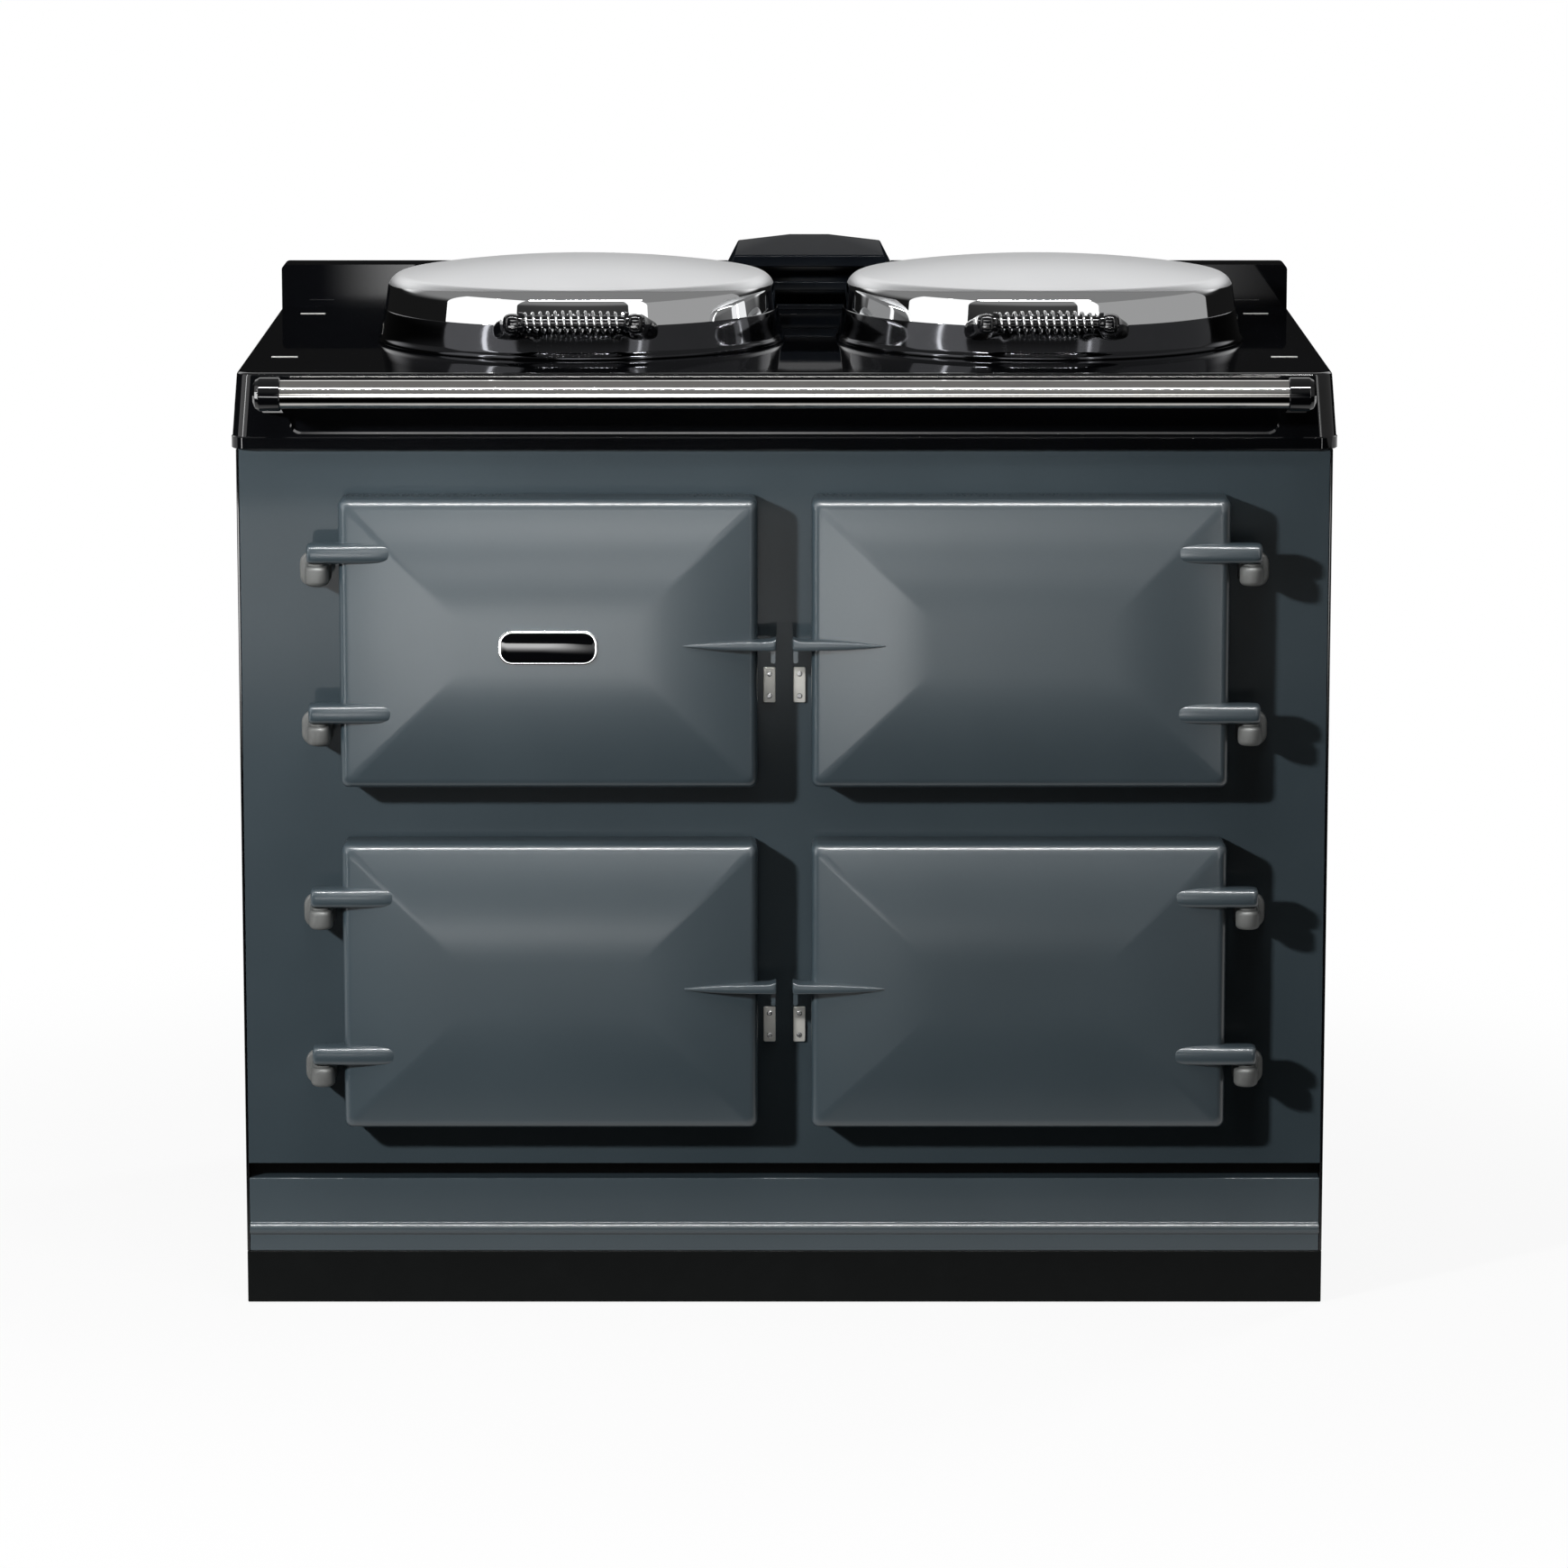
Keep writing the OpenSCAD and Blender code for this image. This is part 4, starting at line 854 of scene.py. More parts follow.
    @staticmethod
    def lathe(
        name: str, centre: Point, profile: Sequence[tuple[float, float]], sides: int, axis: str = "Z"
    ) -> bpy.types.Object:
        """A turned shape: a ring that is extruded and resized from point to point.

        Args:
            name: The piece's name.
            centre: Origin of the profile.
            profile: Radius and height of each ring, in order; both ends are closed.
            sides: Faces round the axis.
            axis: X or Z.

        Returns:
            The object.
        """
        Bench.clear()
        lying = axis == "X"
        last_r, last_h = profile[0]
        spot = list(centre)
        spot[0 if lying else 2] += last_h
        bpy.ops.mesh.primitive_circle_add(
            vertices=sides, radius=last_r * MM, fill_type="NGON", location=metres(spot),
            rotation=(0.0, math.pi / 2 if lying else 0.0, 0.0),
        )
        item = Bench.named(name)
        Bench.edit(item)
        for radius, height in profile[1:]:
            Bench.push(**{axis.lower(): height - last_h})
            ratio = radius / last_r
            Bench.size(*((1.0, ratio, ratio) if lying else (ratio, ratio, 1.0)), centre)
            last_r, last_h = radius, height
        Bench.cap(item)
        return item

    @staticmethod
    def bar(
        name: str, axis: str, stations: Sequence[tuple[Point, float, float]], corner: float, steps: int = 2
    ) -> bpy.types.Object:
        """A bar whose section changes from station to station.

        Args:
            name: The piece's name.
            axis: X or Y, the way the bar runs.
            stations: Centre, width and height of each section.
            corner: Rounding of the section as a share of its smaller side.
            steps: Faces across a rounded corner.

        Returns:
            The object.
        """
        centre, width, height = stations[0]
        turn = (math.pi / 2, 0.0, math.pi / 2) if axis == "X" else UPRIGHT
        item = Bench.outline(name, centre, width, height, min(width, height) * corner, steps, turn)
        for spot, wide, high in stations[1:]:
            Bench.push(*(b - a for a, b in zip(centre, spot)))
            across = wide / width
            Bench.size(*((1.0, across) if axis == "X" else (across, 1.0)), high / height, spot)
            centre, width, height = spot, wide, high
        Bench.cap(item)
        return item

    @staticmethod
    def modify(item: bpy.types.Object, kind: str, **settings: object) -> None:
        """Add a modifier and apply it.

        Args:
            item: The object.
            kind: The modifier's type.
            settings: Its properties.
        """
        Bench.hold(item)
        made = item.modifiers.new(kind.title(), kind)
        for key, value in settings.items():
            setattr(made, key, value)
        bpy.ops.object.modifier_apply(modifier=made.name)

    @staticmethod
    def soften(item: bpy.types.Object, levels: int) -> None:
        """Subdivide a piece smoothly."""
        Bench.modify(item, "SUBSURF", levels=levels, render_levels=levels)

    @staticmethod
    def shade(item: bpy.types.Object, degrees: float) -> None:
        """Smooth shading that keeps edges sharper than an angle."""
        Bench.hold(item)
        bpy.ops.object.shade_smooth_by_angle(angle=math.radians(degrees))

    @staticmethod
    def join(name: str, *items: bpy.types.Object) -> bpy.types.Object:
        """Join objects into the first one.

        Args:
            name: The joined object's name.
            items: The objects.

        Returns:
            The first object.
        """
        Bench.hold(*items)
        bpy.ops.object.join()
        items[0].name = name
        return items[0]

    @staticmethod
    def copy(item: bpy.types.Object, name: str, move: Matrix) -> bpy.types.Object:
        """A copy with its own mesh, moved or mirrored in the mesh itself.

        Args:
            item: The object to copy.
            name: The copy's name.
            move: The change of place, in metres.

        Returns:
            The copy.
        """
        mesh = item.data.copy()
        mesh.name = name
        mesh.transform(move)
        if move.determinant() < 0:
            mesh.flip_normals()
        return Bench.add(name, mesh)

    @staticmethod
    def recast(name: str, node: str, ease: float, steps: int = 3) -> bpy.types.Object:
        """A copy of a CAD node with rounded edges.

        Args:
            name: The piece's name.
            node: The CAD node to copy.
            ease: Edge radius.
            steps: Faces across a rounded edge.

        Returns:
            The object.
        """
        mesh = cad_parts[node].data.copy()
        mesh.name = name
        item = Bench.add(name, mesh)
        Bench.hold(item)
        if mesh.has_custom_normals:
            bpy.ops.mesh.customdata_custom_splitnormals_clear()
        Bench.edit(item)
        bpy.ops.mesh.remove_doubles(threshold=WELD)
        bpy.ops.mesh.dissolve_limited(angle_limit=math.radians(0.5))
        Bench.done()
        Bench.modify(
            item, "BEVEL", width=ease * MM, segments=steps, limit_method="ANGLE", angle_limit=math.radians(30.0),
            use_clamp_overlap=True, miter_outer="MITER_ARC",
        )
        Bench.shade(item, 32.0)
        Bench.modify(item, "WEIGHTED_NORMAL", weight=100, keep_sharp=True)
        return item


@dataclass
class Fitter:
    """Puts finished pieces on their bodies and keeps count of them."""

    made: int = 0

    def fit(
        self, item: bpy.types.Object, body: str, finish: Finish, replaces: Iterable[str] = ()
    ) -> None:
        """Dress a piece and let it ride.

        Args:
            item: The piece.
            body: The CAD body that carries it.
            finish: Its finish.
            replaces: CAD nodes that it stands for.
        """
        item.data.materials.clear()
        item.data.materials.append(finish.material())
        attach(item, body)
        if replaces:
            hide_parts(*replaces)
        self.made += 1
        LOG.info("piece %s on %s", item.name, body)

    def dress(self, finish: Finish, *nodes: str) -> None:
        """Give CAD nodes that stay a finish in their own material slots.

        Args:
            finish: The finish.
            nodes: The nodes' names.
        """
        for node in nodes:
            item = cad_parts[node]
            if not item.material_slots:
                item.data.materials.append(finish.material())
            for place in item.material_slots:
                place.material = finish.material()
            LOG.info("node %s in %s", node, finish.name)


# ---------- Places that the pieces share ----------


@dataclass(frozen=True)
class Places:
    """Heights and depths of the cabinet."""

    face: float = -266.0
    hob: float = 851.0
    door_x: float = 210.0
    door_high: float = 613.5
    door_low: float = 302.5
    hinge_x: float = 415.0
    hinge_forward: float = 42.0
    hinge_rises: tuple[float, float] = (82.0, -62.0)
    lid_y: float = 19.0
    left_lid: float = -189.0
    right_lid: float = 237.0


AT = Places()


class Corner(Enum):
    """The four doors, each with its side and height."""

    UPPER_LEFT = ("upper_left", -1, AT.door_high)
    UPPER_RIGHT = ("upper_right", 1, AT.door_high)
    LOWER_LEFT = ("lower_left", -1, AT.door_low)
    LOWER_RIGHT = ("lower_right", 1, AT.door_low)

    @property
    def label(self) -> str:
        """The door's name."""
        return self.value[0]

    @property
    def body(self) -> str:
        """The CAD body of the door."""
        return f"door_{self.label}"

    def move(self, rise: float = 0.0) -> Matrix:
        """The change of place from the upper right door, with a rise of its own, in metres."""
        lift = Matrix.Translation((0.0, 0.0, (self.value[2] - AT.door_high + rise) * MM))
        return lift @ Matrix.Diagonal((self.value[1], 1.0, 1.0, 1.0))


# ---------- Doors ----------


@dataclass
class DoorSet:
    """Four enamelled door castings with handles, hinge lugs, pans and rope seals."""

    width: float = 372.0
    height: float = 260.0
    gap: float = 3.0
    rim: float = 1.0
    edge: float = 42.0
    crown: float = 10.0
    facet: float = 62.0
    softness: float = 0.72
    roll: float = 9.0
    roll_turn: float = 80.0
    corner: float = 8.0
    wall: float = 9.0
    pocket: float = 30.0
    handle_in: float = 67.0
    handle_over: float = 17.0
    handle_thick: float = 9.0
    handle_deep: float = 21.0
    lip: float = 2.4
    seal_inset: float = 3.6
    seal_pitch: float = 2.8
    seal_radius: float = 1.3
    plate_rim: Plaque = (88.0, 31.0, 12.0, 2.2, 0.7)
    plate_field: Plaque = (84.6, 27.6, 10.6, 1.1, 0.5)
    plate_lip: float = 1.2
    plate_sink: float = 0.8
    plate_seat: float = 0.2
    plate_drop: float = 1.0
    field_out: float = 0.9

    @property
    def plateau(self) -> float:
        """Front of the door before the front plate."""
        return self.gap + self.edge + self.crown

    def section(self, steps: int = 8) -> list[tuple[float, float]]:
        """Inset from the edge and height of the skin, from the back rim to the middle.

        Args:
            steps: Faces across the rolled edge and across the soft bend.

        Returns:
            The points, in order.
        """
        top = self.plateau
        points = [(self.rim, self.gap), (0.3, self.gap + 0.3), (0.0, self.gap + 1.0)]
        for step in range(steps + 1):
            a = math.radians(self.roll_turn * step / steps)
            points.append((self.roll * (1 - math.cos(a)), top - self.crown - self.roll * (1 - math.sin(a))))
        start_in, start = points[-1]
        fall = (top - start) / (self.facet - start_in)
        soft = self.facet * self.softness
        straight = self.facet - soft - start_in
        for share in (0.25, 0.5, 0.75):
            points.append((start_in + straight * share, start + straight * share * fall))
        for step in range(steps + 1):
            u = 2 * soft * step / steps
            points.append((start_in + straight + u, start + fall * (straight + u - u * u / (4 * soft))))
        return points

    def skin(self) -> bpy.types.Object:
        """The hollow pillowed casting of the upper right door.

        Returns:
            The object.
        """
        points = self.section()
        inset, depth = points[0]
        spot = (AT.door_x, AT.face - depth, AT.door_high)
        item = Bench.outline(
            "upper_right_door_casting", spot, self.width - 2 * inset, self.height - 2 * inset, self.corner - inset, 8
        )
        for after, reach in points[1:]:
            Bench.push(y=depth - reach)
            Bench.narrow(self.width, self.height, inset, after, spot)
            inset, depth = after, reach
        Bench.choose_rim(item)
        inset = self.rim
        for after, reach in ((self.wall - 0.6, 0.0), (self.wall, 0.6), (self.wall + 3, self.pocket)):
            Bench.push(y=-reach)
            Bench.narrow(self.width, self.height, inset, after, spot)
            inset = after
        bpy.ops.mesh.edge_face_add()
        Bench.close()
        Bench.shade(item, 35.0)
        return item

    def handle(self) -> bpy.types.Object:
        """The wedge handle with its turned-up lip.

        Returns:
            The object.
        """
        edge = AT.door_x - self.width / 2
        front = AT.face - self.plateau
        inner, over, lip = self.handle_in, self.handle_over, self.lip
        deep, thick = self.handle_deep, self.handle_thick
        rows = (  # way out past the door's edge, top, underside, front and back
            (-inner, 0.7, -0.5, 0.9, 14.0),
            (3 - inner, 1.0, -0.8, 0.5, 15.0),
            (-inner * 0.8, thick * 0.24, -thick * 0.26, 0.0, deep - 3),
            (-inner * 0.45, thick * 0.42, -thick * 0.46, -0.3, deep - 1),
            (-2.0, thick * 0.5, -thick * 0.52, -0.3, deep),
            (over - 6, thick * 0.5, -thick * 0.55, 0.0, deep),
            (over - 2.6, thick * 0.5 + lip * 0.6, -thick * 0.55, 0.0, deep),
            (over - 0.7, thick * 0.5 + lip, -thick * 0.52, 0.2, deep - 0.5),
            (over, thick * 0.4 + lip, -thick * 0.4, 0.9, deep - 1.6),
        )
        stations = [
            ((edge - out, front + ahead + back / 2, AT.door_high + (top + low) / 2), back - ahead, top - low)
            for out, top, low, ahead, back in rows
        ]
        item = Bench.bar("upper_right_door_handle", "X", stations, 0.45)
        Bench.soften(item, 2)
        Bench.shade(item, 60.0)
        return item

    def tail(self) -> bpy.types.Object:
        """The flat latch tail that reaches back beside the keeper.

        Returns:
            The object.
        """
        x = AT.door_x - self.width / 2 - self.handle_over + 3.0
        front = AT.face - self.plateau
        rows = (  # way back, drop, width and height
            (9.5, 9.5, 4.0, 14.0),
            (12.0, 10.0, 4.0, 13.6),
            (26.0, 10.5, 3.8, 12.6),
            (50.0, 12.2, 3.6, 8.0),
            (53.0, 12.2, 3.0, 6.0),
        )
        stations = [((x, front + back, AT.door_high - drop), wide, high) for back, drop, wide, high in rows]
        item = Bench.bar("upper_right_latch_tail", "Y", stations, 0.3)
        Bench.shade(item, 50.0)
        return item

    def lug(self, rise: float, name: str) -> bpy.types.Object:
        """One hinge lug that flares softly into the casting.

        Args:
            rise: Height of its middle above the door's middle.
            name: The piece's name.

        Returns:
            The object.
        """
        axis = AT.hinge_x
        edge = AT.door_x + self.width / 2
        rows = (  # x, way back, depth and height
            (edge - 52.0, 1.2, 15.0, 12.0),
            (edge - 49.0, 0.6, 18.0, 16.0),
            (edge - 40.0, 0.2, 21.0, 18.4),
            (edge - 12.0, 0.0, 23.6, 18.0),
            (edge + 2.0, 0.0, 23.8, 17.8),
            (axis + 2.0, 0.0, 23.8, 17.8),
            (axis + 7.2, 0.0, 22.6, 17.2),
            (axis + 9.2, 0.0, 19.0, 14.4),
        )
        y = AT.face - AT.hinge_forward
        stations = [((x, y + back, AT.door_high + rise), deep, high) for x, back, deep, high in rows]
        item = Bench.bar(name, "X", stations, 0.32, 3)
        Bench.soften(item, 1)
        Bench.shade(item, 60.0)
        return item

    def rope(self) -> bpy.types.Object:
        """Two turns of braided rope side by side on the rim.

        Returns:
            The object.
        """
        spot = (AT.door_x, AT.face - 1.65, AT.door_high)
        loops = []
        for inset in (self.seal_inset, self.seal_inset + self.seal_pitch):
            width, height = self.width - 2 * inset, self.height - 2 * inset
            item = Bench.outline("rope_lane", spot, width, height, self.corner - inset + 4, 6)
            bpy.ops.mesh.delete(type="ONLY_FACE")
            Bench.hold(item)
            bpy.ops.object.convert(target="CURVE")
            item.data.bevel_depth = self.seal_radius * MM
            item.data.bevel_resolution = 2
            bpy.ops.object.convert(target="MESH")
            loops.append(bpy.context.view_layer.objects.active)
        item = Bench.join("upper_right_rope_seal", *loops)
        Bench.edit(item)
        Bench.close()
        Bench.shade(item, 60.0)
        return item

    def build(self, fitter: Fitter) -> None:
        """Model one door and hang it four times.

        Args:
            fitter: Puts the pieces on their bodies.
        """
        parts = {"casting": self.skin(), "handle": self.handle(), "latch_tail": self.tail()}
        for part, rise in zip(("upper_lug", "lower_lug"), AT.hinge_rises):
            parts[part] = self.lug(rise, part)
        rope = self.rope()
        for corner in Corner:
            label = corner.label
            for part, item in parts.items():
                made = Bench.copy(item, f"{label}_door_{part}_piece", corner.move())
                replaced = (f"{label}_door",) if part == "casting" else ()
                fitter.fit(made, corner.body, SLATE_DOOR, replaced)
            made = Bench.copy(rope, f"{label}_rope_seal_piece", corner.move())
            fitter.fit(made, corner.body, ROPE, (f"{label}_door_seal",))
            liner = Bench.recast(f"{label}_inner_pan_piece", f"{label}_door_liner", 0.6, 2)
            fitter.fit(liner, corner.body, PAN, (f"{label}_door_liner",))
        Bench.drop(*parts.values(), rope)

    def plate(self, fitter: Fitter) -> None:
        """The blank plate on the upper left door: a bright rim round a black field.

        Args:
            fitter: Puts the pieces on their bodies.
        """
        x, y, z = -AT.door_x, AT.face - self.plateau + self.plate_seat, AT.door_high - self.plate_drop
        rim = Bench.plaque("blank_plate_rim", (x, y, z), *self.plate_rim)
        Bench.sink(rim, self.plate_lip, self.plate_sink)
        fitter.fit(rim, Corner.UPPER_LEFT.body, MIRROR)
        black = Bench.plaque("blank_plate_field", (x, y - self.field_out, z), *self.plate_field)
        fitter.fit(black, Corner.UPPER_LEFT.body, BLACK)


# ---------- Door hinges and keepers ----------


@dataclass
class HingeSet:
    """Eight cast hinge brackets on the front plate and four latch keepers."""

    knuckle: float = 10.85
    knuckle_high: float = 17.7
    knuckle_ease: float = 4.2
    collar: float = 1.8
    lug_high: float = 18.0
    seat: float = 0.3
    neck_half: float = 9.6
    neck_reach: float = 39.0
    neck_seat: float = 2.0
    neck_short: float = 0.8
    neck_ease: float = 3.4
    root: float = 6.0
    root_flare: Point = (1.16, 1.0, 1.1)
    root_from: float = 3.0
    root_aside: float = 2.0
    pad: Plaque = (28.0, 32.0, 11.0, 5.0, 2.4)
    pad_aside: float = 4.0
    keeper: Point = (11.0, 32.0, 2.5)
    keeper_x: float = 13.5
    keeper_drop: float = 27.0
    screw_radius: float = 2.5
    screw_in: float = 6.0

    def bracket(self) -> bpy.types.Object:
        """The upper bracket of the upper right door: barrel, neck and pad.

        Returns:
            The object.
        """
        x, y = AT.hinge_x, AT.face - AT.hinge_forward
        high = AT.door_high + AT.hinge_rises[0] - self.lug_high / 2 - self.seat - self.collar
        low = high - self.knuckle_high
        middle = (low + high) / 2
        r, ease = self.knuckle, self.knuckle_ease
        turn = [(r - ease * (1 - math.sin(a)), ease * (1 - math.cos(a))) for a in (0.0, 0.4, 0.8, 1.2, math.pi / 2)]
        profile = [(0.6, low - high)] + [(radius, low - high + rise) for radius, rise in turn]
        profile += [(radius, -rise) for radius, rise in reversed(turn)]
        profile += [(r - 3.2, 0.0), (r - 3.2, self.collar), (0.6, self.collar)]
        barrel = Bench.lathe("hinge_barrel", (x, y, high), profile, 48)
        half, short = self.neck_half, self.neck_short
        near = (x - half, AT.face - self.neck_reach, low + short)
        far = (x + half, AT.face - self.neck_seat, high - short)
        neck = Bench.block("hinge_neck", near, far, self.neck_ease, 4)
        Bench.choose(neck, lambda face: face.calc_center_median().y > (AT.face - self.root) * MM)
        Bench.size(*self.root_flare, (x + self.root_from, AT.face, middle))
        bpy.ops.transform.translate(value=(self.root_aside * MM, 0.0, 0.0))
        Bench.done()
        pad = Bench.plaque("hinge_pad", (x + self.pad_aside, AT.face, middle), *self.pad)
        item = Bench.join("hinge_bracket", barrel, neck, pad)
        Bench.shade(item, 40.0)
        return item

    def screws(self, x: float, heights: Sequence[float]) -> bpy.types.Object:
        """Screw heads with a sunk middle on a keeper plate.

        Args:
            x: Their place along X.
            heights: Their places along Z.

        Returns:
            The object.
        """
        r = self.screw_radius
        y = AT.face - self.keeper[2] + 0.2
        heads = []
        for z in heights:
            head = Bench.plaque("keeper_head", (x, y, z), 2 * r, 2 * r, r * 0.98, r * 0.36, r * 0.3)
            Bench.sink(head, r * 0.35, r * 0.2)
            heads.append(head)
        return Bench.join("keeper_heads", *heads)

    def build(self, fitter: Fitter) -> None:
        """Fit the brackets, and the keepers with their screws.

        Args:
            fitter: Puts the pieces on their bodies.
        """
        first = self.bracket()
        for corner in Corner:
            for place, rise in enumerate(AT.hinge_rises):
                move = corner.move(rise - AT.hinge_rises[0])
                made = Bench.copy(first, f"{corner.label}_hinge_bracket_{place + 1}", move)
                fitter.fit(made, "cabinet", NICKEL, ("door_hinge_brackets",))
        wide, high, thick = self.keeper
        top = AT.door_high - self.keeper_drop
        plate = Bench.plaque("keeper", (self.keeper_x, AT.face, top - high / 2), wide, high, 1.4, thick, 0.6)
        screws = self.screws(self.keeper_x, (top - self.screw_in, top - high + self.screw_in))
        for corner in Corner:
            made = Bench.copy(plate, f"{corner.label}_keeper_piece", corner.move())
            fitter.fit(made, "cabinet", KEEPER, ("latch_keepers",))
            made = Bench.copy(screws, f"{corner.label}_keeper_screws", corner.move())
            fitter.fit(made, "cabinet", SCREW)
        Bench.drop(first, plate, screws)


# ---------- Lids ----------


@dataclass
class Lid:
    """One domed lid with its ring, grip, wire coil and hinge arm."""

    side: str
    x: float
    foot: float = 189.5
    rim: float = 182.0
    ring_high: float = 30.0
    ring_in: float = 172.0
    wall: float = 1.8
    crown_r: float = 1053.0
    high: float = 75.0
    satin_from: float = 61.2
    lean: tuple[float, float] = (2.6, 20.0)
    shoulder: Point = (163.787, 45.984, 16.0)
    sides: int = 192
    grip_out: float = 31.5
    grip_z: float = 38.5
    grip_long: float = 93.0
    coil_r: float = 10.75
    coil_bow: float = 1.8
    wire: float = 2.6
    curls: int = 13
    rod: float = 6.0

    @property
    def body(self) -> str:
        """The CAD body of the lid."""
        return f"lid_{self.side}"

    @property
    def centre(self) -> Point:
        """Middle of the lid on the hob."""
        return (self.x, AT.lid_y, AT.hob)

    @property
    def grip_spot(self) -> Point:
        """Middle of the grip's rod."""
        return (self.x, AT.lid_y - self.foot - self.grip_out, AT.hob + self.grip_z)

    def skin(self, inset: float, steps: int) -> list[tuple[float, float]]:
        """Radius and height of the dome's skin from its foot to its middle.

        Args:
            inset: Distance inside the outer skin.
            steps: Points along the shoulder and along the crown.

        Returns:
            The points.
        """
        cx, cz, r = self.shoulder
        side = math.atan2(*self.lean)
        top = math.atan2(cz - (self.high - self.crown_r), cx)
        points = [(self.rim - inset / math.cos(side), self.ring_high)]
        for step in range(steps + 1):
            a = side + (top - side) * step / steps
            points.append((cx + (r - inset) * math.cos(a), cz + (r - inset) * math.sin(a)))
        edge = points[-1][0]
        for step in range(1, steps + 1):
            radius = max(edge * (1 - step / steps), 0.5)
            drop = math.sqrt((self.crown_r - inset) ** 2 - radius**2)
            points.append((radius, self.high - self.crown_r + drop))
        return points

    def dome(self, fitter: Fitter) -> None:
        """The chrome dome, as a shell.

        Args:
            fitter: Puts the piece on its body.
        """
        profile = self.skin(self.wall, 8)[::-1] + self.skin(0.0, 20)
        item = Bench.lathe(f"{self.side}_lid_dome_piece", self.centre, profile, self.sides)
        Bench.shade(item, 40.0)
        chrome = LidChrome(
            f"{self.side}_lid_chrome", metallic=1.0, centre=metres(self.centre), change=self.satin_from * MM,
            colour=Metal.CHROME.value,
        )
        fitter.fit(item, self.body, chrome, (f"{self.side}_lid_dome",))

    def ring(self, fitter: Fitter) -> None:
        """The dark lower ring with its flared foot and rebated top.

        Args:
            fitter: Puts the piece on its body.
        """
        foot, rim, high, inner = self.foot, self.rim, self.ring_high, self.ring_in
        profile = [
            (inner, 0.35), (foot - 0.6, 0.35), (foot - 0.15, 0.6), (foot, 1.1), (foot, 2.3), (foot - 0.35, 3.3),
            (foot - 1.2, 4.5), (foot - 2.1, 5.7), (foot - 2.75, 7.4), (foot - 4.2, 15.5), (foot - 5.6, 23.0),
            (rim + 0.85, high - 1.2), (rim + 0.6, high - 0.4), (rim - 0.1, high), (inner, high),
            (inner, high - 3.0), (inner - 6.0, high - 3.0), (inner - 6.0, high - 6.0), (inner, high - 6.0),
            (inner, 0.36),
        ]
        item = Bench.lathe(f"{self.side}_lid_ring_piece", self.centre, profile, self.sides)
        Bench.choose(item, lambda face: len(face.verts) > 8)
        bpy.ops.mesh.delete(type="ONLY_FACE")
        bpy.ops.mesh.select_all(action="SELECT")
        bpy.ops.mesh.remove_doubles(threshold=10 * WELD)
        Bench.close()
        Bench.shade(item, 35.0)
        fitter.fit(item, self.body, DARK_MIRROR, (f"{self.side}_lid_ring",))

    def arm(self, hand: int) -> bpy.types.Object:
        """One grip arm that swells from the rod end into the ring.

        Args:
            hand: -1 for the left arm and 1 for the right.

        Returns:
            The object.
        """
        x0, y0, z0 = self.grip_spot
        rows = (  # way back from the rod, way out past its end, width, height and drop
            (-9.2, 8.4, 8.0, 11.0, 0.8),
            (-7.4, 8.6, 14.0, 16.5, 1.0),
            (-2.0, 9.2, 17.6, 19.0, 1.4),
            (9.0, 9.4, 18.0, 18.6, 2.2),
            (20.0, 10.2, 19.0, 18.0, 4.0),
            (31.0, 12.2, 22.0, 18.0, 7.4),
            (40.0, 14.6, 26.0, 18.6, 11.0),
            (54.0, 16.0, 29.0, 18.0, 14.0),
        )
        stations = [
            ((x0 + hand * (self.grip_long / 2 + out), y0 + back, z0 - drop), wide, high)
            for back, out, wide, high, drop in rows
        ]
        item = Bench.bar(f"arm_{hand}", "Y", stations, 0.36)
        Bench.soften(item, 2)
        return item

    def grip(self, fitter: Fitter) -> None:
        """Both arms, and the rod with its ferrules.

        Args:
            fitter: Puts the piece on its body.
        """
        half, r = self.grip_long / 2, self.rod
        end = [(0.6, half + 3), (r + 3.0, half + 3), (r + 3.0, half - 0.4), (r + 2.0, half - 1.4), (r, half - 1.8)]
        profile = [(radius, -place) for radius, place in end] + [(r, 0.0)] + end[::-1]
        rod = Bench.lathe("grip_rod", self.grip_spot, profile, 40, axis="X")
        item = Bench.join(f"{self.side}_lid_grip_piece", self.arm(1), self.arm(-1), rod)
        Bench.shade(item, 50.0)
        fitter.fit(item, self.body, BLACK, (f"{self.side}_lid_grip",))

    def coil(self, fitter: Fitter) -> None:
        """The wire coil, wound from one round wire and bowed towards its middle.

        Args:
            fitter: Puts the piece on its body.
        """
        Bench.clear()
        run = self.grip_long - 2 * self.wire
        x, y, z = self.grip_spot
        bpy.ops.mesh.primitive_circle_add(
            vertices=10, radius=self.wire / 2 * MM, location=(0.0, 0.0, (self.coil_r - self.wire / 2) * MM),
            rotation=UPRIGHT,
        )
        item = Bench.named(f"{self.side}_lid_coil_piece")
        Bench.modify(
            item, "SCREW", axis="X", screw_offset=run / self.curls * MM, iterations=self.curls, steps=28,
            render_steps=28, use_merge_vertices=True, merge_threshold=WELD,
        )
        for point in item.data.vertices:
            share = 2 * point.co.x / (run * MM) - 1
            ratio = 1 - self.coil_bow * MM * share * share / math.hypot(point.co.y, point.co.z)
            point.co.y *= ratio
            point.co.z *= ratio
        item.data.transform(Matrix.Translation(metres((x - run / 2, y, z))))
        Bench.edit(item)
        Bench.cap(item)
        Bench.shade(item, 60.0)
        fitter.fit(item, self.body, MIRROR, (f"{self.side}_lid_coil",))

